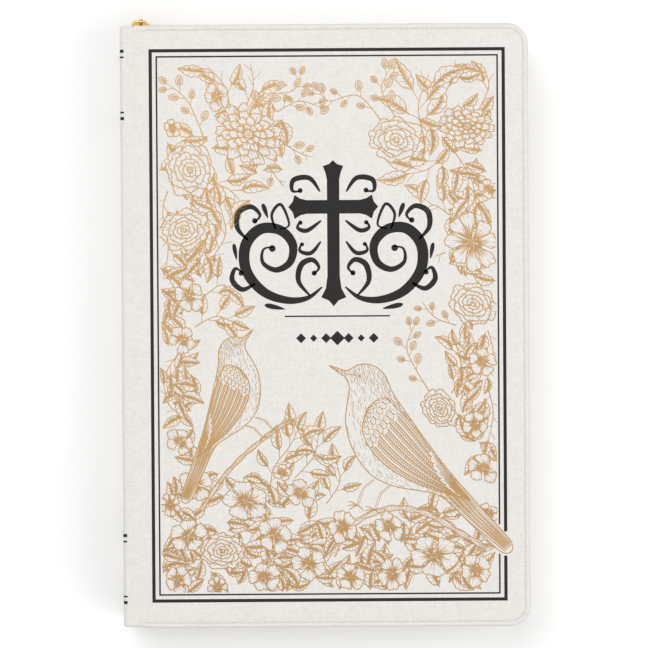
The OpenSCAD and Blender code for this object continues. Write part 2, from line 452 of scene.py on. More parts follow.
def coverShell(name, isBack):
    look = coverLook
    rings = []
    for inset, depth, isGroove in look["rim"] + look["edge"] + look["groove"]:
        ring = []
        for x, y in edgePath(inset, seamX):
            share = grooveDepth(x) if isGroove else 1
            ring.append((x, y, topZ - depth * share))
        rings.append(ring)
    for depth in (look["skinThickness"], rimDepth):
        rings.append([(x, y, topZ - depth) for x, y in edgePath(rimInset, seamX)])
    points, faces = loftRings(rings[:-2], False)
    size = len(rings[0])
    last = len(rings) - 3
    under = len(points)
    points += rings[-2]
    faces.append([last * size + i for i in range(size)])
    faces.append([under + i for i in range(size)])
    for i in range(size - 1):  # the inner wall of the rim
        faces.append((i, i + 1, under + i + 1, under + i))
    headEnd = [row * size for row in range(last + 1)]
    tailEnd = [row * size + size - 1 for row in range(last, -1, -1)]
    faces.append(headEnd + tailEnd + [under + size - 1, under])
    return newPiece(name, flipHeight(points) if isBack else points, faces, linen)


def sweepAcross(path, thickness, rim):
    # a panel swept along (x, z, normal x, normal z); its section runs from head to tail
    look = coverLook
    side = [(inset, depth) for inset, depth, _ in look["edge"]]
    if rim:
        side = [(rimInset, thickness)] + [(inset, depth) for inset, depth, _ in look["rim"]] + side
    else:
        side = [(look["foldInset"], thickness)] + side
    width = headY - spineDip
    section = [(width - inset, depth) for inset, depth in side]
    section += [(-y, depth) for y, depth in reversed(section)]
    rings = []
    for x, z, normalX, normalZ in path:
        rings.append([(x - normalX * depth, y, z - normalZ * depth) for y, depth in section])
    return tube(rings)


def foldPath():
    # over the front fold: from the cover's seam, round the edge, down to the spine's seam
    centreZ = topZ - foldRadius
    path = [(seamX + (foldX - seamX) * i / 4, topZ, 0, 1) for i in range(4)]
    for i in range(9):
        turn = math.pi / 2 * (1 + i / 8)
        path.append((foldX + foldRadius * math.cos(turn), centreZ + foldRadius * math.sin(turn),
                     math.cos(turn), math.sin(turn)))
    path += [(spineX, centreZ + (topZ - seamZ - centreZ) * i / 4, -1, 0) for i in range(1, 5)]
    return path


def blendOverFold(piece, side):
    # bakes the piece's place into its points; the turn over the rounded edge is worked out but not applied
    reach = 0.5
    start = Vector((spineX, 0, topZ - foldRadius - reach)) / 1000
    end = Vector((foldX + reach, 0, topZ)) / 1000
    if side == "back":
        start.z, end.z = topZ / 1000 - start.z, topZ / 1000 - end.z
    side + "_cover"
    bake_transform(piece)


print("stage: covers and spine")
for side in ("front", "back"):
    skin = coverShell(side + "_cover_skin", side == "back")
    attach(skin, side + "_cover")
    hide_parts(side + "_skin")

points, faces = sweepAcross(foldPath(), coverLook["foldThickness"], False)
for side, shape in (("front", points), ("back", flipHeight(points))):
    fold = newPiece(side + "_fold_skin", shape, faces, linen)
    blendOverFold(fold, side)
    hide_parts(side + "_fold")

wall = [(spineX, topZ - seamZ + (2 * seamZ - topZ) * i / 4, -1, 0) for i in range(5)]
points, faces = sweepAcross(wall, coverLook["skinThickness"], True)
spineSkin = newPiece("spine_panel_skin", points, faces, linen)
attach(spineSkin, "spine")
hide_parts("spine_skin")


# What repeats along a path: stitches and zip teeth
def repeatTree(name):
    tree = bpy.data.node_groups.new(name, "GeometryNodeTree")
    face = tree.interface
    face.new_socket("Path", in_out="INPUT", socket_type="NodeSocketGeometry")
    for label, kind in (("Unit", "Object"), ("Pitch", "Float"), ("Material", "Material"),
                        ("Wobble", "Float"), ("Seed", "Int")):
        face.new_socket(label, in_out="INPUT", socket_type="NodeSocket" + kind)
    face.new_socket("Geometry", in_out="OUTPUT", socket_type="NodeSocketGeometry")

    def add(kind, settings, sockets):
        made = tree.nodes.new(kind)
        for key, value in settings.items():
            setattr(made, key, value)
        for key, value in sockets.items():
            if isinstance(value, bpy.types.NodeSocket):
                tree.links.new(value, made.inputs[key])
            else:
                made.inputs[key].default_value = value
        return made.outputs

    given = add("NodeGroupInput", {}, {})
    curve = add("GeometryNodeMeshToCurve", {}, {0: given["Path"]})
    spots = add("GeometryNodeCurveToPoints", {"mode": "LENGTH"}, {0: curve[0], "Length": given["Pitch"]})
    turned = add("FunctionNodeAlignRotationToVector", {"axis": "X", "pivot_axis": "Z"},
                 {"Vector": spots["Tangent"]})
    less = add("ShaderNodeMath", {"operation": "MULTIPLY"}, {0: given["Wobble"], 1: -1.0})
    wobble = add("FunctionNodeRandomValue", {"data_type": "FLOAT"},
                 {"Min": less[0], "Max": given["Wobble"], "Seed": given["Seed"]})
    # the float version of the random value is its second output
    lean = add("ShaderNodeCombineXYZ", {}, {"Z": wobble[1]})
    tilt = add("FunctionNodeEulerToRotation", {}, {0: lean[0]})
    both = add("FunctionNodeRotateRotation", {"rotation_space": "LOCAL"},
               {"Rotation": turned[0], "Rotate By": tilt[0]})
    unit = add("GeometryNodeObjectInfo", {"transform_space": "ORIGINAL"}, {0: given["Unit"]})
    placed = add("GeometryNodeInstanceOnPoints", {},
                 {"Points": spots[0], "Instance": unit["Geometry"], "Rotation": both[0]})
    real = add("GeometryNodeRealizeInstances", {}, {0: placed[0]})
    painted = add("GeometryNodeSetMaterial", {}, {0: real[0], "Material": given["Material"]})
    add("NodeGroupOutput", {}, {0: painted[0]})
    return tree


repeatAlong = repeatTree("repeat_along_path")


def shiftPath(path, distance):
    # starts a path that much further along, so that two rows interlock
    moved = list(path)
    while distance > 0:
        a, b = moved[0], moved[1]
        step = math.dist(a, b)
        if step > distance:
            share = distance / step
            moved[0] = tuple(p + (q - p) * share for p, q in zip(a, b))
            return moved
        distance -= step
        moved.pop(0)
    return moved


def alongPath(name, path, unit, pitch, material, wobble=0.0, seed=1):
    # path in millimetres; unit is a small mesh lying along +X at the origin
    total = sum(math.dist(a, b) for a, b in zip(path, path[1:]))
    path = shiftPath(path[::-1], total - int(total / pitch) * pitch)[::-1]  # a whole number of pitches
    mesh = bpy.data.meshes.new(name + "_path")
    mesh.from_pydata([(x / 1000, y / 1000, z / 1000) for x, y, z in path],
                     [(i, i + 1) for i in range(len(path) - 1)], [])
    holder = linked(name + "_path", mesh)
    modifier = holder.modifiers.new("repeat", "NODES")
    modifier.node_group = repeatAlong
    # the pitch is a hair short, so that rounding never drops the last unit
    given = {"Unit": unit, "Pitch": pitch * 0.9999 / 1000, "Material": material, "Wobble": wobble,
             "Seed": seed}
    for item in repeatAlong.interface.items_tree:
        if item.in_out == "INPUT" and item.name in given:
            modifier[item.identifier] = given[item.name]
    bpy.context.view_layer.update()
    shaped = holder.evaluated_get(bpy.context.evaluated_depsgraph_get())
    result = bpy.data.meshes.new_from_object(shaped)
    result.name = name
    holder.modifiers.remove(modifier)
    bpy.data.objects.remove(holder)
    shadeSmooth(result, 40)
    return linked(name, result)


# the thread dips by "dip" at its ends, the seams lie "depth" below the face and the holes "holeDepth",
# and the back seam is set in by "setIn"
stitchLook = {"inset": 2.0, "pitch": 3.0, "length": 2.5, "radius": 0.24, "rise": 0.10, "dip": 0.35,
              "sides": 8, "rings": 9, "setIn": 0.19, "depth": 0.16, "holeDepth": 0.24}
# needle hole: radius and height of each ring
holeLook = [(0.34, -0.05), (0.30, 0.015), (0.12, 0.0)]


def stitchUnit(side):
    # one stitch: a thread that dips into its holes at both ends
    look = stitchLook
    rings = []
    for i in range(look["rings"]):
        t = i / (look["rings"] - 1)
        x = (t - 0.5) * look["length"]
        end = math.sin(math.pi * t)
        radius = look["radius"] * (0.45 + 0.55 * end ** 0.4)
        z = look["rise"] * end ** 0.5 - look["dip"] * (1 - end ** 0.35)
        if side == "back":
            z = -z
        rings.append([(x, radius * math.cos(a), z + radius * math.sin(a)) for a in turns(look["sides"])])
    return newPiece("stitch_unit", *tube(rings), threadPaint, 60)


def holeUnit():
    # the dimple that the needle leaves between two stitches: a low disc coloured dark with the painted shade
    # that falls inside the hole
    rings = [[(radius * math.cos(a), radius * 0.8 * math.sin(a), z) for a in turns(8)]
             for radius, z in holeLook]
    return newPiece("hole_unit", *tube(rings), holeShadePaint, 60)


print("stage: stitching")
seamLine = edgePath(stitchLook["inset"], seamX + 1.5)
seamPath = [(x, y, topZ - stitchLook["depth"]) for x, y in seamLine]
for side in ("front", "back"):
    seam = seamPath
    if side == "back":  # set in, so that the case lies flat
        seam = [(x, y, z + stitchLook["setIn"]) for x, y, z in flipHeight(seamPath)]
    stitch = stitchUnit(side)
    stitches = alongPath(side + "_seam_stitches", seam, stitch, stitchLook["pitch"], threadPaint, 0.05, 3)
    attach(stitches, side + "_cover")
    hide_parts(side + "_seam_thread")
    bpy.data.objects.remove(stitch)
# dark discs of painted shade, one in each needle hole
hole = holeUnit()
# half a pitch along the seam from the stitches, in the bottom of the groove
holeSpots = [(x, y, topZ - stitchLook["holeDepth"]) for x, y in seamLine]
holePath = shiftPath(holeSpots, stitchLook["pitch"] / 2)
holes = alongPath("front_needle_holes", holePath, hole, stitchLook["pitch"], holeShadePaint)
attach(holes, "front_cover")
bpy.data.objects.remove(hole)


# Artwork: line engraving, drawn from the front shape to the back one
artLook = {"outline": 0.52, "hatch": 0.36, "step": 0.35, "ridge": 0.035, "sink": 0.012,
           # a point is dropped where the line bends and its width changes by less than the first two,
           # but never more than the third in a row
           "straight": 0.02, "swell": 0.3, "skip": 7,
           "middle": np.array([1.05, 0.3]), "reach": np.array([64.4, 102.2]),
           # nothing is drawn in these ovals: x, y and the two half widths
           "clear": [(3.2, 27.0, 39.0, 30.0), (3.2, 48.0, 16.0, 19.0)]}


def inside(points, outline):
    x, y = points[:, 0][:, None], points[:, 1][:, None]
    ax, ay = outline[:, 0], outline[:, 1]
    bx, by = np.roll(ax, -1), np.roll(ay, -1)
    rise = np.where(by == ay, 1e-9, by - ay)
    crossed = ((ay > y) != (by > y)) & (x < (bx - ax) * (y - ay) / rise + ax)
    return crossed.sum(1) % 2 == 1


class Engraving:
    def __init__(self):
        self.birdOutlines = []
        self.masks = []
        self.lows = np.zeros((0, 2))
        self.highs = np.zeros((0, 2))
        self.strokes = {}

    def cover(self, outline):
        # what is drawn later is hidden behind this outline
        outline = np.array(outline, float)
        self.masks.append(outline)
        self.lows = np.vstack([self.lows, outline.min(0)])
        self.highs = np.vstack([self.highs, outline.max(0)])

    def fits(self, shape):
        isInBorder = (np.abs(shape - artLook["middle"]) < artLook["reach"]).all()
        return isInBorder and not self.cleared(shape).any()

    def cleared(self, points):
        result = np.zeros(len(points), bool)
        for x, y, reachX, reachY in artLook["clear"]:
            result |= ((points[:, 0] - x) / reachX) ** 2 + ((points[:, 1] - y) / reachY) ** 2 < 1
        return result

    def hidden(self, points):
        result = np.zeros(len(points), bool)
        low, high = points.min(0), points.max(0)
        near = (low < self.highs).all(1) & (high > self.lows).all(1)
        for k in np.flatnonzero(near):
            result |= inside(points, self.masks[k])
            if result.all():
                break
        return result

    def line(self, group, points, width, taper=(1, 1), within=None):
        # width is at the middle; taper gives each end's share of it
        points = np.array(points, float)
        lengths = np.hypot(*np.diff(points, axis=0).T)
        along = np.concatenate([[0], np.cumsum(lengths)])
        if along[-1] < 0.05:
            return
        count = max(2, int(along[-1] / artLook["step"]) + 1)
        at = np.linspace(0, along[-1], count)
        fine = np.stack([np.interp(at, along, points[:, 0]), np.interp(at, along, points[:, 1])], 1)
        share = at / along[-1]
        ends = taper[0] * (1 - share) + taper[1] * share
        widths = width * (ends + (1 - ends) * np.sin(np.pi * share) ** 0.7)
        if group != "birds":
            kept = (np.abs(fine - artLook["middle"]) < artLook["reach"]).all(1)
            if not kept.any():
                return
        shown = ~self.hidden(fine)
        if group != "birds":
            shown &= kept & ~self.cleared(fine)
        if within is not None:
            shown &= inside(fine, np.array(within, float))
        start = None
        for i, visible in enumerate(list(shown) + [False]):
            if visible and start is None:
                start = i
            elif not visible and start is not None:
                if i - start > 1:
                    self.keep(group, fine[start:i], widths[start:i])
                start = None

    def keep(self, group, points, widths):
        # drops the points that a straight stretch doesn't need
        kept = [0]
        for i in range(1, len(points) - 1):
            a, b = points[kept[-1]], points[i + 1]
            chord = b - a
            off = abs(chord[0] * (points[i] - a)[1] - chord[1] * (points[i] - a)[0])
            isBent = off > artLook["straight"] * max(math.hypot(*chord), 1e-6)
            swelled = abs(widths[i] - widths[kept[-1]]) > artLook["swell"] * widths.max()
            if isBent or swelled or i - kept[-1] > artLook["skip"]:
                kept.append(i)
        kept.append(len(points) - 1)
        self.strokes.setdefault(group, []).append((points[kept], widths[kept]))


def strokeMesh(name, strokes, material):
    # each stroke is a low closed ridge of foil
    low, top = topZ - artLook["sink"], topZ + artLook["ridge"]
    points, faces = [], []
    for line, widths in strokes:
        along = headings(line)
        side = np.stack([-along[:, 1], along[:, 0]], 1) * widths[:, None] / 2
        start = len(points)
        for (x, y), (sx, sy) in zip(line, side):
            points += [(x + sx, y + sy, low), (x - sx, y - sy, low), (x, y, top)]
        for i in range(len(line) - 1):
            a, b = start + 3 * i, start + 3 * i + 3
            faces += [(a, b, b + 1, a + 1), (a + 1, b + 1, b + 2, a + 2), (a + 2, b + 2, b, a)]
        end = start + 3 * (len(line) - 1)
        faces += [(start, start + 1, start + 2), (end, end + 2, end + 1)]
    return newPiece(name, points, faces, material, 50, recalculate=False)


def turned(points, centre, angle, scale=1.0, squash=1.0, squashAngle=0.0):
    # turns a drawing, then flattens it along squashAngle, so that a flower leans
    points = np.array(points, float) * scale
    c, s = math.cos(angle), math.sin(angle)
    points = points @ np.array([[c, s], [-s, c]])
    c, s = math.cos(squashAngle), math.sin(squashAngle)
    lengthwise = points @ np.array([c, s])
    points = points + np.outer(lengthwise * (squash - 1), [c, s])
    return points + np.array(centre)


def throughPoints(points, steps=6, closed=False):
    # smooth curve through given points
    points = np.array(points, float)
    count = len(points)
    result = []
    for i in range(count if closed else count - 1):
        if closed:
            p0, p1, p2, p3 = (points[(i + k) % count] for k in (-1, 0, 1, 2))
        else:
            p0, p1, p2, p3 = (points[min(max(i + k, 0), count - 1)] for k in (-1, 0, 1, 2))
        for k in range(steps):
            t = k / steps
            result.append(0.5 * (2 * p1 + (p2 - p0) * t + (2 * p0 - 5 * p1 + 4 * p2 - p3) * t * t
                                 + (3 * p1 - p0 - 3 * p2 + p3) * t ** 3))
    if not closed:
        result.append(points[-1])
    return np.array(result)


def leaf(art, group, base, angle, length, width, bend, rng, teeth):
    # a serrated leaf: both edges, the rib, and veins that are closer on its shaded side
    def middle(t):
        return np.array([length * t, bend * length * math.sin(math.pi * t) * 0.5])

    def edge(t, side, grow=1.0):
        half = width / 2 * math.sin(math.pi * t ** 0.8) ** 0.85
        return middle(t) + np.array([0, side * half * grow])

    outline = {}
    for side in (1, -1):
        row = [middle(0)]
        for k in range(teeth):
            t = (k + 0.35) / (teeth + 0.2)
            row.append(edge(t, side, 0.93))
            row.append(edge(min(t + 0.62 / teeth, 0.99), side, 1.10))
        row.append(middle(1.04))
        outline[side] = turned(row, base, angle)
    shape = np.concatenate([outline[1], outline[-1][::-1]])
    if not art.fits(shape):
        return
    for side in (1, -1):
        art.line(group, outline[side], artLook["outline"] * 0.9)
    rib = [middle(t) for t in np.linspace(-0.08, 0.97, 9)]
    art.line(group, turned(rib, base, angle), artLook["outline"], (1.2, 0.3))
    shade = rng.choice((1, -1))
    for k in range(teeth):
        for part in range(5):
            t = (k + 0.25 + part / 5) / (teeth + 0.6)
            isVein = part == 0
            for side in (1, -1):
                if not isVein and side != shade and part != 2:
                    continue
                reach = 0.88 if isVein else rng.uniform(0.45, 0.8) if side == shade else 0.35
                tip = edge(min(t + 0.10, 0.98), side, reach)
                vein = [middle(t), (middle(t) + tip) / 2 + [0.02 * length, 0], tip]
                thick = artLook["hatch"] * (1.5 if side == shade else 0.9)
                art.line(group, turned(vein, base, angle), thick, (1.2, 0.3))
    art.cover(shape)


def petalWedge(art, group, place, direction, inner, outer, spread, rng, ruffle, lines):
    # a petal seen from above: its root is hidden by the petals in front of it
    def at(s, r):
        turn = direction + spread * s * (0.55 + 0.45 * r / outer)
        return np.array([r * math.cos(turn), r * math.sin(turn)])

    wave, shift = rng.uniform(4, 7), rng.uniform(0, 6)

    def brim(s):
        return outer * (1 - 0.20 * abs(s) ** 2.6) * (1 + ruffle * math.sin(wave * s + shift))

    sides = np.linspace(-1, 1, 13)
    arc = [at(s, brim(s)) for s in sides]
    left = [at(-1, r) for r in np.linspace(inner * 0.6, brim(-1), 5)]
    right = [at(1, r) for r in np.linspace(brim(1), inner * 0.6, 5)]
    shape = place(left + arc + right)
    art.line(group, shape, artLook["outline"], (0.6, 0.6))
    for k in range(lines):
        s = -0.9 + 1.8 * (k + rng.uniform(0.2, 0.8)) / lines
        stop = inner + (brim(s) - inner) * rng.uniform(0.3, 0.72)
        strand = [at(s, r) for r in np.linspace(inner * 0.8, stop, 4)]
        art.line(group, place(strand), artLook["hatch"] * 1.15, (1.5, 0.25))
        if k % 2 == 0:
            start = brim(s) * 0.97
            tip = [at(s, r) for r in np.linspace(start, start - (outer - inner) * 0.22, 3)]
            art.line(group, place(tip), artLook["hatch"], (0.9, 0.25))
    art.cover(shape)


def heart(art, group, place, radius, rng, dots):
    # stamens: a ring of short threads with a dot at the end of each
    for k in range(dots):
        turn = 2 * math.pi * (k + rng.uniform(-0.3, 0.3)) / dots
        reach = radius * rng.uniform(0.55, 1.0)
        way = np.array([math.cos(turn), math.sin(turn)])
        art.line(group, place([way * radius * 0.12, way * reach * 0.85]), 0.22)
        art.line(group, place([way * reach, way * (reach + 0.45)]), 0.55, (0.8, 0.8))
    ring = [(radius * 0.22 * math.cos(a), radius * 0.22 * math.sin(a))
            for a in np.linspace(0, 2 * math.pi, 9)]
    art.line(group, place(ring), 0.3)


# Rings of petals, from the middle out: share of the radius, petals, ruffle, lines on each petal
bloomLook = {
    "rose": {"rings": [(0.26, 3, 0.04, 4), (0.44, 4, 0.05, 6), (0.63, 5, 0.05, 8), (0.82, 6, 0.05, 10),
                       (1.0, 7, 0.06, 12)], "inner": 0.10, "overlap": 1.3},
    "dahlia": {"rings": [(0.34, 8, 0.0, 3), (0.56, 10, 0.03, 5), (0.79, 12, 0.03, 6), (1.0, 13, 0.04, 7)],
               "inner": 0.16, "overlap": 1.02, "heart": 0.18},
    "five": {"rings": [(1.0, 5, 0.05, 8)], "inner": 0.14, "overlap": 1.02, "heart": 0.36},
    "daisy": {"rings": [(1.0, 8, 0.05, 6)], "inner": 0.14, "overlap": 0.98, "heart": 0.36},
}


def bloom(art, group, centre, radius, rng, kind, squash, lean):
    look = bloomLook[kind]
    turn = rng.uniform(0, 6.3)

    def place(points):
        return turned(points, centre, 0, 1, squash, lean)

    if kind == "rose":
        swirl = [(radius * 0.13 * t * math.cos(9 * t + turn), radius * 0.13 * t * math.sin(9 * t + turn))
                 for t in np.linspace(0.1, 1, 12)]
        art.line(group, place(swirl), 0.3)
    else:
        heart(art, group, place, radius * look["heart"], rng, 9)
    inner = radius * look["inner"]
    for share, count, ruffle, lines in look["rings"]:
        for k in range(count):
            direction = turn + 2 * math.pi * (k + rng.uniform(-0.12, 0.12)) / count
            outer = radius * share * rng.uniform(0.93, 1.05)
            spread = math.pi / count * look["overlap"]
            petalWedge(art, group, place, direction, inner, outer, spread, rng, ruffle, lines)
        turn += math.pi / look["rings"][0][1]
        inner = radius * share * 0.8


def bud(art, group, base, angle, size):
    cup = [(0, 0), (size * 0.35, size * 0.36), (size * 0.85, size * 0.30), (size * 1.15, 0),
           (size * 0.85, -size * 0.30), (size * 0.35, -size * 0.36)]
    shape = turned(throughPoints(cup, 4, True), base, angle)
    if not art.fits(shape):
        return
    art.line(group, np.concatenate([shape, shape[:1]]), artLook["outline"] * 0.9)
    for k in (-0.6, -0.2, 0.25, 0.65):
        fold = [(size * 0.15, size * 0.20 * k), (size * 0.6, size * 0.30 * k), (size, size * 0.12 * k)]
        art.line(group, turned(fold, base, angle), artLook["hatch"], (1, 0.3))
    art.cover(shape)


def sprig(art, group, path, rng, kind, size, pairs):
    # a stem with leaves or buds in turn on both sides
    stem = throughPoints(path, 8)
    spots = np.linspace(len(stem) - 1, len(stem) * 0.18, pairs).astype(int)
    for k, spot in enumerate(spots):
        a, b = stem[max(spot - 1, 0)], stem[min(spot + 1, len(stem) - 1)]
        heading = math.atan2(*(b - a)[::-1])
        side = 0 if k == 0 else (1 if k % 2 else -1)
        angle = heading + side * rng.uniform(0.6, 0.95)
        way = np.array([math.cos(angle), math.sin(angle)])
        stalk = size * (0.05 if k == 0 else 0.45)
        foot = stem[spot] + way * stalk
        art.line(group, [stem[spot], foot], 0.34)
        if kind == "bud":
            bud(art, group, foot, angle, size * rng.uniform(0.42, 0.6))
        else:
            grown = size * rng.uniform(0.85, 1.15)
            leaf(art, group, foot, angle, grown, grown * 0.46, rng.uniform(-0.3, 0.3), rng, 4)
    art.line(group, stem, 0.48, (1.3, 0.6))


def branch(art, group, path, width, rng):
    # a woody stem: two rough edges with knots and bark lines between them
    middle = throughPoints(path, 10)
    along = headings(middle)
    side = np.stack([-along[:, 1], along[:, 0]], 1)
    half = width / 2 * (1 + 0.25 * np.sin(np.arange(len(middle)) * 1.3))[:, None]
    left, right = middle + side * half, middle - side * half
    art.line(group, left, artLook["outline"])
    art.line(group, right, artLook["outline"])
    for i in range(1, len(middle) - 1):
        for share in (-0.5, 0.1, 0.6):
            spot = middle[i] + side[i] * half[i] * (share + rng.uniform(-0.2, 0.2))
            art.line(group, [spot - along[i] * 0.9, spot + along[i] * 0.9], artLook["hatch"], (0.5, 0.3))
    art.cover(np.concatenate([left, right[::-1]]))


# A perched songbird facing +X, about 85 long, its outline and its folded wing as smooth curves
birdLook = {
    "body": [(30.5, 21.6), (24.6, 21.4), (22.6, 22.2), (19.4, 25.2), (14.4, 26.2), (9, 24.0), (4.0, 18.0),
             (-5, 10.4), (-15, 2.4), (-25, -5.2), (-40, -15), (-56, -25.6), (-53.5, -30), (-39, -22.8),
             (-25, -15.6), (-15, -15.8), (-6, -16.6), (4, -14.6), (12.5, -7.8), (18.2, 1.2), (20.0, 9.6),
             (20.8, 15.6), (23.4, 18.9), (25.4, 19.6)],
    "wingTop": [(12, 9.5), (6.5, 15.2), (-6, 8.6), (-18, -0.8), (-36, -14)],
    "wingLow": [(12, 9.5), (11, 0), (1.5, -8.6), (-14, -13.2), (-36, -14)],
    "back": [(4.0, 18.0), (-5, 10.4), (-15, 2.4), (-25, -5.2), (-40, -15)],
    "inward": (0.6, -0.8), "backDepths": (0.9, 6.5, 0.85),
    "eye": (18.2, 20.9), "eyeRadius": 1.1,
    "bill": [(30.2, 21.5), (26, 20.6), (22.8, 20.3)], "lore": [(22.8, 20.3), (20.6, 20.6), (19.4, 20.8)],
    "feathers": 9, "tailFeathers": 5, "tailStart": ((-25, -6.5), (-24, -15.8)),
    "tailStop": ((-56.4, -26.4), (-54.0, -29.6)), "tailBarb": (-1.3, 1.15),
    # where the feet stand along the body, and the tips of the toes from each heel
    "feet": (-3.0, 4.0), "toes": ((3.8, -1.5), (4.0, 0.3), (2.6, -2.8), (-3.0, -1.6)),
    "tailLength": 24, "downStep": (1.15, 0.80),
    # line widths
    "edge": 0.55, "scallop": 0.40, "feather": 0.58, "tail": 0.54, "down": 0.36, "under": 0.44, "leg": 0.34,
}


def songbird(art, group, place, rng):
    look = birdLook
    top = throughPoints(look["wingTop"], 8)
    low = throughPoints(look["wingLow"], 8)

    def wing(u, v):
        at = u * (len(top) - 1)
        i = min(int(at), len(top) - 2)
        a = top[i] + (top[i + 1] - top[i]) * (at - i)
        b = low[i] + (low[i + 1] - low[i]) * (at - i)
        return a + (b - a) * v

    body = throughPoints(look["body"], 6, True)
    eyeX, eyeY = look["eye"]

    def circle(radius):
        return place([(eyeX + radius * math.cos(a), eyeY + radius * math.sin(a))
                      for a in np.linspace(0, 2 * math.pi, 13)])

    for size, width in ((0.35, 0.95), (1.15, 0.28)):
        art.line(group, circle(look["eyeRadius"] * size), width)
    art.cover(circle(look["eyeRadius"] * 1.3))
    art.line(group, place(look["bill"]), 0.34)
    art.line(group, place(look["lore"]), 0.5, (0.4, 1))
    # wing: scallops by the shoulder, then long feathers with a quill and barbs
    for row in range(4):
        for k in range(5 + row):
            u = 0.07 + row * 0.085
            v = (k + 0.5 * (row % 2) + 0.25) / (5.2 + row)
            arc = [wing(u, v - 0.09), wing(u + 0.055, v - 0.05), wing(u + 0.07, v),
                   wing(u + 0.055, v + 0.05), wing(u, v + 0.09)]
            if v < 0.95:
                art.line(group, place(arc), look["scallop"])
                art.line(group, place([wing(u - 0.01, v), wing(u + 0.05, v)]), 0.30, (1, 0.3))
    count = look["feathers"]
    for k in range(count):
        v0, v1 = k / count, (k + 1) / count
        begin = 0.40 + 0.015 * math.sin(k * 2.1)
        finish = 0.98 - 0.030 * (count - 1 - k)
        lower = [wing(u, v1) for u in np.linspace(begin, finish, 12)]
        middle = (v0 + v1) / 2
        art.line(group, place(lower + [wing(finish, middle)]), look["feather"])
        quill = [wing(u, middle) for u in np.linspace(begin, finish - 0.02, 8)]
        art.line(group, place(quill), 0.30)
        for u in np.arange(begin, finish - 0.03, 0.0145):
            art.line(group, place([wing(u, v0 + (v1 - v0) * 0.1), wing(u + 0.012, middle)]), 0.36)
            if k % 2 == 0:
                art.line(group, place([wing(u + 0.012, middle), wing(u, v1 - 0.01)]), 0.30)
        # the feathers under these run on to the wing's tip
        for v in (v0 + 0.25 / count, v0 + 0.75 / count):
            under = [wing(u, v) for u in np.linspace(min(finish + 0.012, 0.985), 0.99, 8)]
            art.line(group, place(under), look["under"], (0.7, 0.5))
    art.line(group, place(top), look["edge"])
    art.line(group, place(low), look["edge"])
    art.cover(place(np.concatenate([top, low[::-1]])))
    for k in range(look["tailFeathers"]):
        share = (k + 0.5) / look["tailFeathers"]
        start, stop = (np.array(first) * (1 - share) + np.array(last) * share
                       for first, last in (look["tailStart"], look["tailStop"]))
        art.line(group, place([start, (start + stop) / 2 + [0, -0.6], stop]), look["tail"])
        for t in np.arange(0.05, 0.96, 0.020):
            spot = start + (stop - start) * t
            art.line(group, place([spot, spot + np.array(look["tailBarb"])]), 0.34)
    shape = place(body)
    # long feathers down the back, between the wing and the outline
    for depth in np.arange(*look["backDepths"]):
        back = np.array(look["back"]) + np.array(look["inward"]) * depth
        art.line(group, place(throughPoints(back, 6)), 0.42, (0.2, 0.6), within=shape)
    # down: short strokes that follow the body, close on the back and thin on the breast
    lowest, highest = body.min(0), body.max(0)
    for x in np.arange(lowest[0] + look["tailLength"], highest[0], look["downStep"][0]):
        for y in np.arange(lowest[1], highest[1], look["downStep"][1]):
            spot = np.array([x + rng.uniform(-0.4, 0.4), y + rng.uniform(-0.25, 0.25)])
            backness = (spot[1] - (spot[0] * 0.72 + 2)) / 9
            if x > 8:
                backness = (spot[1] - 18.5) / 4 + 0.1
            if rng.random() > 0.55 + 0.55 * backness and rng.random() > 0.34:
                continue
            heading = 0.72 + 0.35 * math.sin(spot[0] / 9) + rng.uniform(-0.2, 0.2)
            size = rng.uniform(1.2, 2.0)
            way = np.array([math.cos(heading), math.sin(heading)]) * size / 2
            art.line(group, place([spot - way, spot + way]), look["down"], (0.8, 0.25), within=shape)
    art.line(group, np.concatenate([shape, shape[:1]]), look["edge"])
    art.cover(shape)
    art.birdOutlines.append(shape)
    for foot in look["feet"]:
        hip = np.array([foot - 2, -16.2])
        knee, heel = np.array([foot + 1, -20.5]), np.array([foot + 1.5, -27.5])
        for shift in (-0.35, 0.35):
            art.line(group, place([hip + [shift, 0], knee + [shift, 0], heel + [shift, 0]]), look["leg"])
        for toe in look["toes"]:
            tip = heel + np.array(toe)
            art.line(group, place([heel, heel + np.array(toe) * 0.6 + [0, 0.4], tip]), 0.6, (1, 0.4))


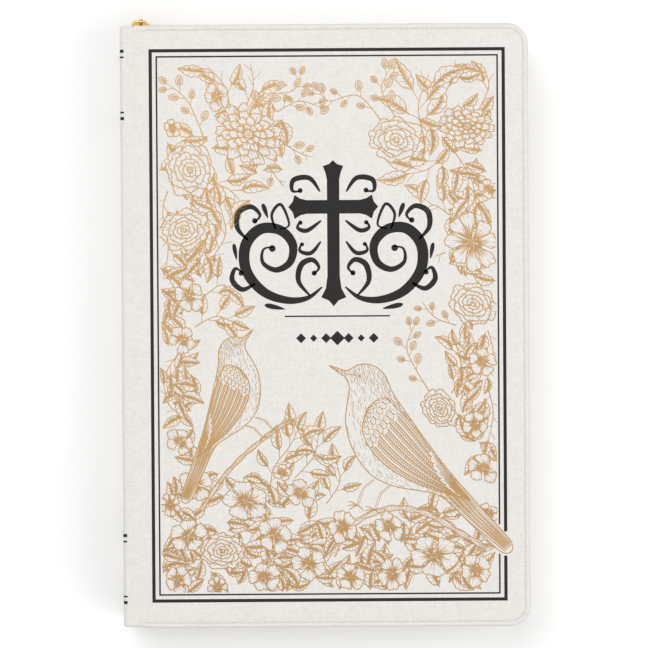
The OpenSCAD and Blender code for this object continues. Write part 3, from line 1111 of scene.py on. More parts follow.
# What stands where on the front cover, in millimetres, from the front layer to the back one
artPlan = {
    "birds": [
        {"at": (-35.5, -26.5), "turn": 38, "scale": 0.71, "mirror": False, "seed": 5},
        {"at": (24.5, -44.0), "turn": -16, "scale": 0.99, "mirror": True, "seed": 9},
    ],
    # x, y, radius, kind, squash, lean in degrees
    "blooms": [
        (-29, 73.5, 13.6, "dahlia", 0.80, 60), (-51.5, 60, 10.8, "rose", 0.88, 20),
        (-54, 37, 9.6, "rose", 0.82, 100), (27.5, 71, 10.4, "rose", 0.86, 75),
        (54.5, 76, 10.6, "dahlia", 0.78, 80), (56, 32, 11.4, "daisy", 0.85, 30),
        (56.5, 8.0, 9.4, "rose", 0.85, 60), (43.5, -32, 7.8, "rose", 0.8, 40),
        (-41, 88, 5.6, "five", 0.85, 20), (-52, 12, 6.4, "five", 0.85, 20),
        (-55, -5, 5.4, "five", 0.9, 60), (60, -14, 5.6, "five", 0.9, 50),
        (-31, -67, 8.6, "five", 0.85, 70), (-50, -60, 6.6, "five", 0.9, 30),
        (-53, -80, 7.4, "five", 0.85, 110), (-40, -86, 8.6, "rose", 0.8, 90),
        (-20, -80, 7.0, "five", 0.88, 20), (-10, -64, 6.2, "five", 0.82, 60),
        (-7, -91, 7.0, "five", 0.9, 50), (41, -88, 9.6, "five", 0.85, 80),
        (57, -94, 6.4, "five", 0.9, 10), (24, -77, 6.2, "five", 0.8, 30),
        (6, -77, 6.4, "five", 0.85, 10), (60, -55, 6.4, "five", 0.85, 70),
        (57, -38, 5.2, "five", 0.9, 20), (-24, -96, 6.2, "five", 0.9, 100),
        (-56, -44, 5.6, "five", 0.85, 40), (9, -96, 5.8, "five", 0.85, 60),
        (25, -95, 6.4, "five", 0.85, 0), (-57, -97, 5.6, "five", 0.9, 0),
        (-42, -100, 4.6, "daisy", 0.9, 0), (-60, -68, 4.6, "daisy", 0.85, 20),
        (-17, -56, 3.8, "five", 0.85, 60), (62, -72, 4.2, "five", 0.85, 60),
        (63, 52, 4.4, "five", 0.8, 60), (-58, 76, 3.8, "five", 0.85, 30),
    ],
    # woody stems under the birds' feet: their paths and their width
    "branches": [
        ([(-48, -70), (-39, -57), (-29, -47), (-17, -38.0), (-12, -36)], 1.4),
        ([(2, -88), (10, -76), (24, -70), (38, -72), (52, -80), (62, -86)], 1.9),
    ],
    # paths of stems, then what they carry, its size and how many
    "sprigs": [
        ([(-30, 80), (-22, 88), (-12, 90), (-9, 96)], "bud", 6.0, 8),
        ([(-18, 82), (-10, 86), (-2, 84)], "bud", 5.5, 6),
        ([(-46, 72), (-52, 86), (-60, 93)], "bud", 6.0, 7),
        ([(-36, 84), (-38, 92), (-44, 99)], "leaf", 9.0, 6),
        ([(-30, 84), (-27, 92), (-28, 100)], "leaf", 9.0, 6),
        ([(-16, 70), (-9, 66), (-3, 64)], "bud", 5.5, 6),
        ([(-22, 62), (-16, 54), (-12, 52)], "bud", 5.5, 5),
        ([(22, 78), (13, 88), (2, 86), (-2, 90)], "bud", 6.0, 8),
        ([(27, 80), (22, 90), (25, 98)], "bud", 6.0, 7),
        ([(38, 72), (36, 84), (40, 96)], "leaf", 12.0, 7),
        ([(46, 84), (46, 92), (52, 99)], "leaf", 10.0, 6),
        ([(60, 84), (63, 92), (60, 100)], "leaf", 8.0, 5),
        ([(48, 68), (40, 60), (32, 58)], "leaf", 10.0, 6),
        ([(48, 42), (42, 46), (38, 44)], "leaf", 9.0, 5),
        ([(46, 28), (40, 26), (36, 29)], "leaf", 7.5, 4),
        ([(50, 66), (56, 56), (58, 46)], "leaf", 9.0, 7),
        ([(50, 0), (42, 3), (37, 9)], "bud", 5.0, 5),
        ([(40, -26), (34, -16), (31, -8), (34, 0)], "bud", 6.0, 8),
        ([(48, -26), (52, -18), (50, -8)], "leaf", 7.0, 6),
        ([(-48, 22), (-42, 28), (-38, 36), (-40, 46)], "leaf", 9.0, 8),
        ([(-44, 56), (-36, 52), (-31, 46)], "leaf", 9.5, 6),
        ([(-46, 12), (-40, 16), (-35, 14)], "leaf", 8.0, 5),
        ([(-50, 0), (-42, 4), (-36, 2)], "leaf", 7.5, 6),
        ([(-56, -10), (-61, -18), (-57, -28)], "leaf", 8.0, 7),
        ([(-52, -36), (-60, -30), (-62, -22)], "leaf", 6.5, 5),
        ([(-22, -64), (-20, -54), (-14, -46), (-11, -40)], "leaf", 8.0, 9),
        ([(-12, -58), (-5, -50), (-3, -42)], "leaf", 8.0, 7),
        ([(0, -68), (5, -60), (4, -53)], "leaf", 7.0, 6),
        ([(30, -84), (34, -76), (44, -72)], "leaf", 8.0, 5),
        ([(62, -24), (64, -34), (62, -44)], "leaf", 7.5, 7),
        ([(62, -2), (64, -10), (62, -20)], "leaf", 6.5, 6),
        ([(-60, 52), (-62, 44), (-60, 30), (-62, 18)], "leaf", 7.0, 9),
    ],
    # areas that small leaves fill behind everything: low x, low y, high x, high y, how many
    "fills": [
        (-63, -102, 28, -74, 190), (-63, -76, 0, -56, 60), (28, -102, 65, -70, 70), (-63, 16, -42, 78, 60),
        (-63, -56, -48, 16, 50), (47, 16, 65, 90, 70), (50, -62, 65, 16, 60), (-44, 58, -14, 90, 30),
        (34, 58, 50, 80, 10),
    ],
}


def drawArtwork():
    art = Engraving()
    for bird in artPlan["birds"]:
        mirror = -1 if bird["mirror"] else 1

        def place(points, bird=bird, mirror=mirror):
            flipped = np.array(points, float) * [mirror, 1]
            return turned(flipped, bird["at"], math.radians(bird["turn"]), bird["scale"])

        songbird(art, "birds", place, random.Random(bird["seed"]))
    # each shape has its own seed, so that moving one leaves the others as they are
    for number, (x, y, radius, kind, squash, lean) in enumerate(artPlan["blooms"]):
        rng = random.Random(100 + number)
        group = "upper_flowers" if y > 0 else "lower_flowers"
        bloom(art, group, (x, y), radius, rng, kind, squash, math.radians(lean))
    for number, (path, width) in enumerate(artPlan["branches"]):
        branch(art, "lower_leaves", path, width, random.Random(300 + number))
    for number, (path, kind, size, pairs) in enumerate(artPlan["sprigs"]):
        group = "upper_leaves" if path[0][1] > -30 else "lower_leaves"
        sprig(art, group, path, random.Random(200 + number), kind, size, pairs)
    rng = random.Random(41)
    for lowX, lowY, highX, highY, count in artPlan["fills"]:
        for _ in range(count):
            base = (rng.uniform(lowX, highX), rng.uniform(lowY, highY))
            size = rng.uniform(6.5, 10)
            angle = rng.uniform(0, 6.3)
            tip = (base[0] + size * math.cos(angle), base[1] + size * math.sin(angle))
            if not (lowX < tip[0] < highX and lowY < tip[1] < highY):
                continue
            group = "upper_leaves" if base[1] > -30 else "lower_leaves"
            leaf(art, group, base, angle, size, size * 0.48, rng.uniform(-0.3, 0.3), rng, 5)
    return art


# Printing and foil on the covers and the spine
printLook = {
    "rise": 0.03, "sink": 0.05,
    # the thick line's outer edges: low x, low y, high x, high y
    "frame": (-67.0, -105.6, 69.1, 106.2),
    "thick": 1.25, "thin": 0.6, "thinInset": 2.65,
    "gap": 0.8, "joint": 0.01,
    # bands on the spine: distance from each end to the middle of the line, and its width
    "bands": [(10.0, 1.2), (12.3, 0.65), (33.4, 0.65), (35.7, 1.2)],
    "bandStartX": -75.7,
}


def stripMesh(name, strips, material):
    # strips are (points, widths) on the front cover's face, closed and flat
    top, low = topZ + printLook["rise"], topZ - printLook["sink"]
    parts = []
    for line, widths in strips:
        line = np.array(line, float)
        along = headings(line)
        side = np.stack([-along[:, 1], along[:, 0]], 1) * (np.array(widths) / 2)[:, None]
        parts.append(tube([[(x - sx, y - sy, top), (x + sx, y + sy, top), (x + sx, y + sy, low),
                            (x - sx, y - sy, low)] for (x, y), (sx, sy) in zip(line, side)]))
    return newPiece(name, *gather(parts), material, 30)


def frameStrips(art):
    # the double border, left out where the bird's tail crosses it
    strips = []
    lowX, lowY, highX, highY = printLook["frame"]
    for inset, width in ((0, printLook["thick"]), (printLook["thinInset"], printLook["thin"])):
        x0, y0, x1, y1 = lowX + inset, lowY + inset, highX - inset, highY - inset
        half, clear = width / 2, width + printLook["joint"]
        sides = [((x0, y0 + half), (x1, y0 + half)), ((x0, y1 - half), (x1, y1 - half)),
                 ((x0 + half, y0 + clear), (x0 + half, y1 - clear)),
                 ((x1 - half, y0 + clear), (x1 - half, y1 - clear))]
        for start, end in sides:
            count = int(math.dist(start, end) / 0.25)
            spots = np.linspace(start, end, count + 1)
            crossed = np.zeros(len(spots), bool)
            for turn in np.linspace(0, 2 * math.pi, 9)[:-1]:
                push = printLook["gap"] * np.array([math.cos(turn), math.sin(turn)])
                crossed |= art.hidden(spots + push)
            begin = None
            for i, isOff in enumerate(list(crossed) + [True]):
                if not isOff and begin is None:
                    begin = i
                elif isOff and begin is not None:
                    if i - 1 > begin:
                        strips.append((spots[[begin, i - 1]], [width, width]))
                    begin = None
    return strips


def bandStrips(path):
    # the bands across the spine, swept along (x, z, normal x, normal z)
    top, low = printLook["rise"], -printLook["sink"]
    parts = []
    for offset, width in printLook["bands"]:
        for end in (1, -1):
            middle = end * (headY - offset)
            corners = [(middle + side * width / 2, rise)
                       for side, rise in ((-1, top), (1, top), (1, low), (-1, low))]
            parts.append(tube([[(x + normalX * rise, y, z + normalZ * rise) for y, rise in corners]
                               for x, z, normalX, normalZ in path]))
    return gather(parts)


# A plain cross among scrolls, a rule and a row of lozenges, in place of a title
ornament = {
    "middle": (3.2, 36.0),
    # half of the cross, from the top of its post down the right side
    "cross": [(0, 27.4), (1.6, 25.9), (3.9, 25.2), (2.9, 22.6), (2.35, 20), (2.35, 12.2), (10.2, 12.2),
              (12.6, 12.8), (14.8, 14.2), (15.5, 11.6), (17.2, 9.6), (15.5, 7.6), (14.8, 5.0),
              (12.6, 6.4), (10.2, 7.0), (2.35, 7.0), (2.35, -17), (3.0, -21.6), (4.8, -25.0),
              (1.9, -26.2), (0, -28.4)],
    # scrolls on the right side: points, widest width, width at the ends
    "scrolls": [
        ([(4.4, -21), (10, -25.2), (18, -26), (27, -22.6), (33.4, -14.5), (33.6, -5), (28, 1.2), (20.4, 0.8),
          (15.6, -4.6), (16.6, -11.4), (22, -14.4), (27, -11.6), (26.8, -6.6), (23, -5.6)], 4.2, 0.5),
        ([(9.0, -24.4), (13.4, -18.8), (12.4, -12.6), (8.2, -10.6), (5.6, -13.6), (7.8, -16.2)], 2.2, 0.5),
        ([(30.0, -19.6), (35.0, -21.8), (38.8, -18.2), (37.6, -13.8), (34.9, -15.4)], 2.1, 0.5),
        ([(32.6, -3.0), (36.6, 1.6), (36.2, 7.6), (31.4, 9.8), (28.0, 6.6), (30.2, 3.8)], 2.2, 0.5),
        ([(22, 1.0), (23.5, 6.8), (20.0, 10.6), (16.9, 3.0), (20.4, 1.2)], 1.2, 0.5),
        ([(5.0, 15.4), (9.0, 20.6), (15.0, 20.0), (15.6, 15.9), (12.4, 15.6)], 2.0, 0.5),
        ([(4.6, 4.4), (10.0, 0.6), (13.6, 1.6), (12.8, 4.0)], 1.7, 0.5),
        ([(4.8, -3.6), (8.6, -8.0), (12.8, -7.2), (12.2, -4.2)], 1.6, 0.5),
    ],
    # solid drops: x, y, length, width, direction in degrees
    "drops": [(23.4, -6.2, 2.6, 2.6, 0), (7.4, -15.7, 2.0, 2.0, 0), (35.4, -15.6, 1.9, 1.9, 0),
              (30.0, 4.4, 2.1, 2.1, 0), (12.6, 15.9, 1.9, 1.9, 0), (12.6, 3.6, 1.7, 1.7, 0),
              (12.0, -4.7, 1.6, 1.6, 0), (22.6, -28.6, 8.0, 2.4, 12), (37.6, -7.4, 6.4, 2.0, 80),
              (26.0, 8.2, 6.0, 2.2, 70)],
    "rule": (-15.6, 24.6, 3.8, 0.55),
    "lozenges": [(-9.4, 1.9), (-4.6, 1.4), (0.2, 1.9), (4.5, 2.8), (8.8, 1.9), (13.6, 1.4), (18.4, 1.9)],
    "lozengeY": -4.6,
}


def flatShape(name, outlines, material):
    # closed flat plates, each from its outline
    plates = bmesh.new()
    for outline in outlines:
        count = len(outline)
        top = [plates.verts.new((x, y, topZ + printLook["rise"])) for x, y in outline]
        low = [plates.verts.new((x, y, topZ - printLook["sink"])) for x, y in outline]
        plates.faces.new(top)
        plates.faces.new(low[::-1])
        for i in range(count):
            plates.faces.new((top[i], low[i], low[(i + 1) % count], top[(i + 1) % count]))
    bmesh.ops.triangulate(plates, faces=[face for face in plates.faces if len(face.verts) > 4])
    plates.verts.index_update()
    points = [tuple(vert.co) for vert in plates.verts]
    faces = [tuple(vert.index for vert in face.verts) for face in plates.faces]
    plates.free()
    return newPiece(name, points, faces, material, 30)


def drawOrnament():
    centreX, centreY = ornament["middle"]
    right = ornament["cross"]
    left = [(-x, y) for x, y in reversed(right[1:-1])]
    outlines = [[(centreX + x, centreY + y) for x, y in right + left]]
    strips = []
    for side in (1, -1):
        for points, width, end in ornament["scrolls"]:
            line = throughPoints([(centreX + side * x, centreY + y) for x, y in points], 7)
            share = np.linspace(0, 1, len(line))
            strips.append((line, end + (width - end) * np.sin(np.pi * share ** 0.75) ** 1.3))
        for x, y, length, width, angle in ornament["drops"]:
            turn = math.radians(angle)
            drop = []
            for k in range(16):
                a = 2 * math.pi * k / 16
                u = length / 2 * math.cos(a)
                v = width / 2 * math.sin(a) * (1 if length == width else 0.75 + 0.35 * math.cos(a))
                drop.append((centreX + side * (x + u * math.cos(turn) - v * math.sin(turn)),
                             centreY + y + u * math.sin(turn) + v * math.cos(turn)))
            outlines.append(drop)
    x0, x1, y, width = ornament["rule"]
    strips.append(([(x0, y), (x1, y)], [width, width]))
    y = ornament["lozengeY"]
    for x, size in ornament["lozenges"]:
        outlines.append([(x - size, y), (x, y - size), (x + size, y), (x, y + size)])
    return outlines, strips


print("stage: printing and foil")
artwork = drawArtwork()
for group, strokes in artwork.strokes.items():
    foil = strokeMesh("foil_" + group, strokes, goldFoil)
    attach(foil, "front_cover")

birdMasks = Engraving()
for outline in artwork.birdOutlines:
    birdMasks.cover(outline)
border = stripMesh("printed_border", frameStrips(birdMasks), blackPrint)
crossOutlines, scrollStrips = drawOrnament()
crossPrint = flatShape("printed_cross", crossOutlines, blackPrint)
scrollPrint = stripMesh("printed_scrolls", scrollStrips, blackPrint)
for piece in (border, crossPrint, scrollPrint):
    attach(piece, "front_cover")

points, faces = bandStrips(wall)
wallBands = newPiece("spine_bands", points, faces, blackPrint, 30)
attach(wallBands, "spine")
points, faces = bandStrips([spot for spot in foldPath() if spot[0] < printLook["bandStartX"]])
for side, shape in (("front", points), ("back", flipHeight(points))):
    bands = newPiece(side + "_fold_bands", shape, faces, blackPrint, 30)
    blendOverFold(bands, side)


# Zip: a bead and moulded teeth on each tape, from the spine along the head, round to the tail
zipLook = {
    "inset": 2.0, "bendX": foreX - cornerRadius, "bendY": headY - cornerRadius, "pitch": 2.0,
    "startX": -71.5, "runStartX": {"back": -69.5, "front": -68.1},
    # how far from a row's start its first tooth is
    "first": {"back_head": 0.4, "front_head": 1.4, "back_run": 0.9, "front_run": 1.9},
    "railLow": 16.7, "railHigh": 18.0, "railHalf": 0.62, "toothCut": 0.14,
    # tooth section up the tooth: height above the rail's foot, half length along the zip, half thickness
    "tooth": [(1.1, 0.42, 0.95), (1.35, 0.47, 1.05), (1.75, 0.37, 0.95), (2.15, 0.37, 0.95),
              (2.45, 0.47, 1.02), (2.75, 0.41, 0.90), (2.8, 0.28, 0.7)],
}


def zipPath(startX, isTail):
    look = zipLook
    y = headY - look["inset"]
    radius = foreX - look["inset"] - look["bendX"]
    if not isTail:
        return [(startX, y), (look["bendX"], y)]
    row = []
    for i in range(17):
        turn = math.pi / 2 * (1 - i / 16)
        row.append((look["bendX"] + radius * math.cos(turn), look["bendY"] + radius * math.sin(turn)))
    row += [(x, -y) for x, y in reversed(row)]
    return row + [(startX, -y)]


def toothUnit(isFront):
    sections = []
    cut = zipLook["toothCut"]
    for height, halfLength, halfThick in zipLook["tooth"]:
        corners = [(halfLength, halfThick - cut), (halfLength - cut, halfThick)]
        corners += [(-x, y) for x, y in reversed(corners)]
        corners += [(-x, -y) for x, y in corners]
        z = -height if isFront else height
        sections.append([(x, y, z) for x, y in corners])
    return newPiece("tooth_unit", *tube(sections), teethPaint, 30)


def beadMesh(name, path, z):
    # the moulded bead that the teeth stand on
    look = zipLook
    half = look["railHalf"]
    height = (look["railHigh"] - look["railLow"]) / 2
    line = np.array(path, float)
    rings = []
    for (x, y), (ax, ay) in zip(line, headings(line)):
        ring = []
        for turn in turns(12):
            across = half * max(min(1.25 * math.cos(turn), 1), -1)
            up = height * max(min(1.25 * math.sin(turn), 1), -1)
            ring.append((x - ay * across, y + ax * across, z + up))
        rings.append(ring)
    return newPiece(name, *tube(rings), tapePaint, 40)


def joined(name, first, second):
    # one piece of two meshes
    both = bmesh.new()
    both.from_mesh(first.data)
    count = len(both.faces)
    both.from_mesh(second.data)
    both.faces.ensure_lookup_table()
    for face in both.faces[count:]:
        face.material_index = 1
    mesh = bpy.data.meshes.new(name)
    both.to_mesh(mesh)
    both.free()
    mesh.materials.append(first.data.materials[0])
    mesh.materials.append(second.data.materials[0])
    for old in (first, second):
        bpy.data.objects.remove(old)
    return linked(name, mesh)


print("stage: zip")
for side in ("back", "front"):
    isFront = side == "front"
    unit = toothUnit(isFront)
    foot = topZ - zipLook["railLow"] if isFront else zipLook["railLow"]
    beadZ = (zipLook["railLow"] + zipLook["railHigh"]) / 2
    beadZ = topZ - beadZ if isFront else beadZ
    for part in ("head", "run"):
        isRun = part == "run"
        path = zipPath(zipLook["runStartX"][side] if isRun else zipLook["startX"], isRun)
        # the two rows interlock: the front one is half a pitch further along
        first = zipLook["first"][side + "_" + part]
        placed = [(x, y, foot) for x, y in path]
        name = side + "_zip_" + part
        teeth = alongPath(name + "_teeth", shiftPath(placed, first), unit, zipLook["pitch"], teethPaint)
        piece = joined(name, teeth, beadMesh(name + "_bead", path, beadZ))
        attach(piece, side + "_cover")
        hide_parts(side + "_teeth_" + part)
    bpy.data.objects.remove(unit)


# Metal parts: plates with bevelled edges and round bars
def plate(outline, low, high, bevel, hole=None):
    # outline in X and Z, in millimetres; low and high are the faces' places along Y
    shape = bmesh.new()
    made = []
    for line in [outline] + ([hole] if hole else []):
        verts = [shape.verts.new((x, low, z)) for x, z in line]
        made += [shape.edges.new((verts[i], verts[(i + 1) % len(verts)])) for i in range(len(verts))]
    bmesh.ops.triangle_fill(shape, edges=made, use_beauty=True)
    grown = bmesh.ops.extrude_face_region(shape, geom=list(shape.faces))
    for item in grown["geom"]:
        if isinstance(item, bmesh.types.BMVert):
            item.co.y = high
    sharp = [edge for edge in shape.edges if len(edge.link_faces) == 2
             and abs(edge.verts[0].co.y - edge.verts[1].co.y) < 1e-6 and edge.calc_face_angle() > 1.0]
    bmesh.ops.bevel(shape, geom=sharp, offset=bevel, segments=3, profile=0.5, affect="EDGES")
    return shape


def roundBar(path, radius, sides=14):
    # a bar of round section along a path, its ends closed
    line = np.array(path, float)
    along = np.gradient(line, axis=0)
    along /= np.maximum(np.linalg.norm(along, axis=1), 1e-9)[:, None]
    up = np.array([0.0, 0.0, 1.0])
    rings = []
    for i, (spot, way) in enumerate(zip(line, along)):
        across = np.cross(way, up)
        across /= max(np.linalg.norm(across), 1e-9)
        lift = np.cross(across, way)
        size = radius if 0 < i < len(line) - 1 else radius * 0.75
        rings.append([tuple(spot + size * (math.cos(a) * across + math.sin(a) * lift)) for a in turns(sides)])
    return tube(rings)


def metalPiece(name, shapes, bars, material):
    whole = bmesh.new()
    for shape in shapes:
        mesh = bpy.data.meshes.new("part")
        shape.to_mesh(mesh)
        shape.free()
        whole.from_mesh(mesh)
        bpy.data.meshes.remove(mesh)
    whole.verts.index_update()
    points = [tuple(vert.co) for vert in whole.verts]
    faces = [tuple(vert.index for vert in face.verts) for face in whole.faces]
    whole.free()
    return newPiece(name, *gather([(points, faces)] + bars), material, 40)


sliderLow, sliderHigh = boxMm("slider_body")
pullLow, pullHigh = boxMm("pull_tab")
sliderMiddle = topZ / 2
pullMiddle = (pullLow[0] + pullHigh[0]) / 2
# The slider, its crown and the pull; places along Y are the frame's own
metalLook = {
    "plate": 1.2, "bevel": 0.28, "plateY": (115.0, 110.8), "half": 4.0, "tail": 3.6,
    "wedgeY": (111.9, 115.1), "panelY": (116.1, 116.42),
    "lipY": ((114.12, 115.1), (111.9, 112.88)), "lipInset": 1.1, "lipOut": 3.15, "lipHalf": 0.33,
    # the crown: where its feet stand, from the mouth, and half of its arch as distance in from a foot
    # and place along Y
    "crownX": (0.65, 5.75), "crownY": 117.75, "barRadius": 0.5,
    "crown": [(0, 115.8), (0, 116.6), (0.1, 117.2), (0.35, 117.6), (0.8, 117.75), (1.8, 117.75)],
    "eyeOuter": 1.06, "eyeInner": 0.62, "eyeSteps": 28,
    "pullHalf": 3.0, "pullY": (116.5, 117.4), "slotRadius": 1.1, "slotTop": 6.9, "slotFoot": 3.0,
}


def sliderShape():
    look = metalLook
    x0, x1 = sliderLow[0], sliderHigh[0]
    middle, half, tail = sliderMiddle, look["half"], look["tail"]
    outline = [(x0, middle - half + 1.3), (x0 + 0.5, middle - half + 0.4), (x0 + 1.4, middle - half)]
    outline += [(x0 + 5.2, middle - half), (x0 + 6.8, middle - tail), (x1 - 1.0, middle - tail),
                (x1 - 0.3, middle - tail + 0.3), (x1, middle - tail + 1.0)]
    outline += [(x, 2 * middle - z) for x, z in reversed(outline)]
    shapes = [plate(outline, low, low + look["plate"], look["bevel"]) for low in look["plateY"]]
    # the wedge at the mouth that parts the two rows, and a raised panel on the outer plate
    wedge = [(x0 + 0.05, middle - 0.9), (x0 + 0.8, middle - 1.15), (x0 + 1.9, middle),
             (x0 + 0.8, middle + 1.15), (x0 + 0.05, middle + 0.9)]
    shapes.append(plate(wedge, *look["wedgeY"], 0.08))
    panel = [(x0 + 6.6, middle - 2.2), (x1 - 1.2, middle - 2.0), (x1 - 0.9, middle), (x1 - 1.2, middle + 2.0),
             (x0 + 6.6, middle + 2.2)]
    shapes.append(plate(panel, *look["panelY"], 0.12))
    start, stop = x0 + look["lipInset"], x1 - look["lipInset"]
    for side in (1, -1):
        edge = middle + side * look["lipOut"]
        low, high = edge - look["lipHalf"], edge + look["lipHalf"]
        lip = [(start, low), (stop, low), (stop, high), (start, high)]
        shapes += [plate(lip, *places, 0.1) for places in look["lipY"]]
    first, last = (x0 + x for x in look["crownX"])
    crown = [(first + x, y, middle) for x, y in look["crown"]]
    crown += [(last - x, y, middle) for x, y in reversed(look["crown"])]
    return shapes, [roundBar(crown, look["barRadius"])]


def pullShape():
    look = metalLook
    z, half, bottom = sliderMiddle, look["pullHalf"], pullLow[2]
    left = pullMiddle - half
    outline = [(pullMiddle - 0.9, z - 0.7), (pullMiddle - 1.2, z - 3.0), (left + 0.4, z - 4.6),
               (left, z - 5.6), (left, bottom + 2.2), (left + 0.5, bottom + 0.9),
               (left + 1.4, bottom + 0.2), (left + 2.2, bottom)]
    outline += [(2 * pullMiddle - x, height) for x, height in reversed(outline)]
    slot = []
    for begin, centre in ((0, z - look["slotTop"]), (1, bottom + look["slotFoot"])):
        for k in range(9):
            turn = math.pi * (begin + k / 8)
            slot.append((pullMiddle + look["slotRadius"] * math.cos(turn),
                         centre + look["slotRadius"] * math.sin(turn)))
    return [plate(outline, *look["pullY"], 0.22, slot)]


def eyeMesh():
    # the eye: a ring whose hole runs along the slider, round the crown's bar
    outer, inner = metalLook["eyeOuter"], metalLook["eyeInner"]
    sections = [(inner, -0.55), (inner + 0.12, -0.68), (outer - 0.15, -0.68), (outer, -0.5), (outer, 0.5),
                (outer - 0.15, 0.68), (inner + 0.12, 0.68), (inner, 0.55)]
    rings = []
    for turn in turns(metalLook["eyeSteps"]):
        y, z = math.cos(turn), math.sin(turn)
        rings.append([(pullMiddle + along, metalLook["crownY"] + radius * y, sliderMiddle + radius * z)
                      for radius, along in sections])
    points, faces = loftRings(rings + rings[:1], True)
    last = len(points) - len(sections)
    # the last ring is the first one again
    faces = [tuple(index - last if index >= last else index for index in face) for face in faces]
    return points[:last], faces


shapes, bars = sliderShape()
slider = metalPiece("zip_slider", shapes, bars, goldMetal)
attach(slider, "slider")
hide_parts("slider_body")
pull = metalPiece("zip_pull", pullShape(), [eyeMesh()], goldMetal)
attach(pull, "pull")
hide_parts("pull_tab")


# Page block: many thin layers, so that the gilded edges are not smooth
blockLook = {"layers": 34, "uneven": 0.09, "outerInset": 0.05, "gap": 0.04, "corner": 8.0, "arcSteps": 8,
             "seed": 17}


def pageBlock(name, node):
    low, high = boxMm(node)
    look = blockLook
    rng = random.Random(look["seed"])

    def outline(inset):
        x0, x1, y1 = low[0] + inset * 0.3, high[0] - inset, high[1] - inset
        row = [(x0, y1), (x0 + 8, y1), (x1 - 60, y1), (x1 - look["corner"], y1)]
        for k in range(1, look["arcSteps"] + 1):
            turn = math.pi / 2 * (1 - k / look["arcSteps"])
            row.append((x1 - look["corner"] + look["corner"] * math.cos(turn),
                        y1 - look["corner"] + look["corner"] * math.sin(turn)))
        row.append((x1, 30))
        return row + [(x, -y) for x, y in reversed(row)]

    rings = []
    step = (high[2] - low[2]) / look["layers"]
    for layer in range(look["layers"]):
        inset = rng.uniform(0, look["uneven"])
        if layer in (0, look["layers"] - 1):
            inset = look["outerInset"]
        for height in (layer * step + (look["gap"] if layer else 0), (layer + 1) * step - look["gap"]):
            top = min(height, high[2] - low[2])
            if layer == look["layers"] - 1 and height > layer * step + 0.1:
                top = high[2] - low[2]
            rings.append([(x, y, low[2] + top) for x, y in outline(inset)])
    piece = newPiece(name, *tube(rings), giltPaint, 30)
    piece.data.materials.append(pagePaint)
    for polygon in piece.data.polygons[-2:]:
        polygon.material_index = 1
    return piece


print("stage: pages")
for node, body in (("front_pages", "upper_pages"), ("back_pages", "back_cover")):
    piece = pageBlock(node + "_layers", node)
    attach(piece, body)
    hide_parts(node)


# a rib's profile: share of its pitch, share of the radius
headbandLook = {"pitch": 0.9, "rib": [(0.0, 0.84), (0.25, 0.97), (0.5, 1.0), (0.75, 0.97)], "sides": 14}


def headbandMesh(name, node):
    # a cord wrapped with silk: its ribs stand out all the way up, at the head and at the tail
    low, high = boxMm(node)
    radius = (high[0] - low[0]) / 2
    centreX = low[0] + radius
    parts = []
    ribs = int((high[2] - low[2]) / headbandLook["pitch"])
    for side in (1, -1):
        centreY = side * (high[1] - radius)
        rings = []
        for rib in range(ribs):
            for share, size in headbandLook["rib"]:
                z = low[2] + (high[2] - low[2]) * (rib + share) / ribs
                reach = radius * size
                rings.append([(centreX + reach * math.cos(a), centreY + reach * math.sin(a), z)
                              for a in turns(headbandLook["sides"])])
        rings.append([(x, y, high[2]) for x, y, _ in rings[0]])
        parts.append(tube(rings))
    return newPiece(name, *gather(parts), bandPaint, 60)


for node, body in (("front_headbands", "upper_pages"), ("back_headbands", "back_cover")):
    piece = headbandMesh(node + "_silk", node)
    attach(piece, body)
    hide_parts(node)

ribbonLook = {
    "width": 10.0, "length": 223.5, "thickness": 0.13, "droop": 1.6, "slant": 3.4,
    "route": [(-65.0, 106.5), (-63.5, 70), (-57.5, 25), (-48, -25), (-38, -70), (-31.5, -100),
              (-28.6, -112.0)],
    # section: share of the width, share of the thickness
    "section": [(-0.5, -0.3), (-0.5, 0.3), (-0.46, 0.5), (-0.2, 0.42), (0, 0.4), (0.2, 0.42), (0.46, 0.5),
                (0.5, 0.3), (0.5, -0.3), (0.46, -0.5), (0, -0.46), (-0.46, -0.5)],
}


def ribbonMesh():
    # lies between the two halves of the block; its free end droops past the pages
    look = ribbonLook
    middle = throughPoints(look["route"], 12)
    low, high = boxMm("ribbon_marker")
    pagesEnd = boxMm("back_pages")[0][1]
    rings = []
    for i, ((x, y), (ax, ay)) in enumerate(zip(middle, headings(middle))):
        droop = look["droop"] * smooth((pagesEnd + 0.4 - y) / 5.0)
        z = (low[2] + high[2]) / 2 - droop
        ring = []
        for across, rise in look["section"]:
            slant = look["slant"] * (across + 0.5) * smooth((i - len(middle) + 6) / 5)
            reach = across * look["width"]
            ring.append((x - ay * reach - ax * slant, y + ax * reach - ay * slant,
                         z + rise * look["thickness"]))
        rings.append(ring)
    return newPiece("ribbon_satin_strip", *tube(rings), ribbonPaint, 50)


ribbon = ribbonMesh()
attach(ribbon, "back_cover")
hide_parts("ribbon_marker")


# Camera, light and floor: the camera's lengths are in millimetres, the studio's in metres
view = {"distance": 1500.0, "frameHeight": 247.9, "sensor": 36.0, "tilt": 1.2, "roll": 0.36,
        "aimX": -0.4, "aimY": 0.8}
studio = {"world": 0.62, "floorReach": 6,
          # name, place, size and power
          "lamps": [("key", (-0.45, 0.6, 1.5), 1.4, 13), ("fill", (0.9, -0.3, 1.2), 1.4, 9)]}


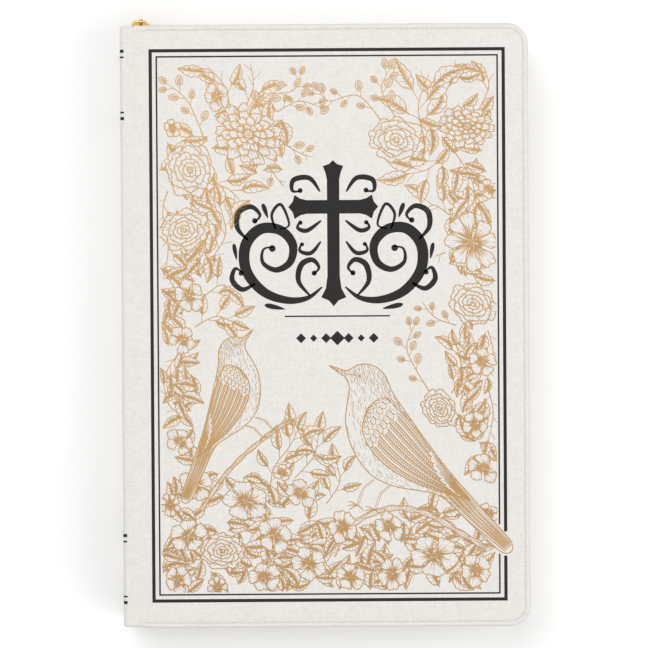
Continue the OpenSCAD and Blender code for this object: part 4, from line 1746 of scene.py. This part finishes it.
def makeCamera():
    data = bpy.data.cameras.new("camera")
    data.lens = view["sensor"] * view["distance"] / view["frameHeight"]
    data.sensor_width = view["sensor"]
    data.clip_end = 20
    camera = linked("camera", data)
    tilt = math.radians(view["tilt"])
    aim = Vector((view["aimX"], view["aimY"], topZ))
    away = Vector((0, math.sin(tilt), math.cos(tilt))) * view["distance"]
    camera.location = (aim + away) / 1000
    camera.rotation_euler = (-tilt, 0, -math.radians(view["roll"]))
    scene.camera = camera


def makeLight(name, place, size, power):
    data = bpy.data.lights.new(name, "AREA")
    data.shape = "DISK"
    data.size = size
    data.energy = power
    lamp = linked(name, data)
    lamp.location = place
    lamp.rotation_euler = (-Vector(place)).to_track_quat("-Z", "Y").to_euler()  # aimed at the origin


def makeStudio():
    scene.view_settings.view_transform = "Standard"
    world = bpy.data.worlds.new("studio")
    scene.world = world
    world.use_nodes = True
    sky = world.node_tree.nodes["Background"].inputs
    sky["Color"].default_value = (1, 1, 1, 1)
    sky["Strength"].default_value = studio["world"]
    for lamp in studio["lamps"]:
        makeLight(*lamp)
    floorMesh = bpy.data.meshes.new("floor")
    reach = studio["floorReach"]
    floorMesh.from_pydata([(-reach, -reach, 0), (reach, -reach, 0), (reach, reach, 0), (-reach, reach, 0)],
                          [], [(0, 1, 2, 3)])
    floor = linked("floor", floorMesh)
    pale = Paint("pale_floor", Roughness=0.9)
    dust = pale.noise(30, detail=2)
    tone = pale.mix(dust * 0.3, (0.93, 0.93, 0.93), (0.90, 0.90, 0.90))
    floorMesh.materials.append(pale.shine(Base_Color=tone))


print("stage: camera and light")
makeCamera()
makeStudio()

# The frame's own nodes keep their shape and take these finishes
finishes = {
    "front_board": boardPaint, "back_board": boardPaint, "spine_stiffener": boardPaint,
    "front_lining": liningPaint, "back_lining": liningPaint, "spine_lining": liningPaint,
    "front_pastedown": paperPaint, "back_pastedown": paperPaint,
    "front_flyleaf": paperPaint, "back_flyleaf": paperPaint,
    "front_zip_tape": tapePaint, "back_zip_tape": tapePaint,
    "zip_bottom_stop": goldMetal, "front_mull": mullPaint, "back_mull": mullPaint,
}
for name, material in finishes.items():
    nodes[name].material_slots[0].material = material
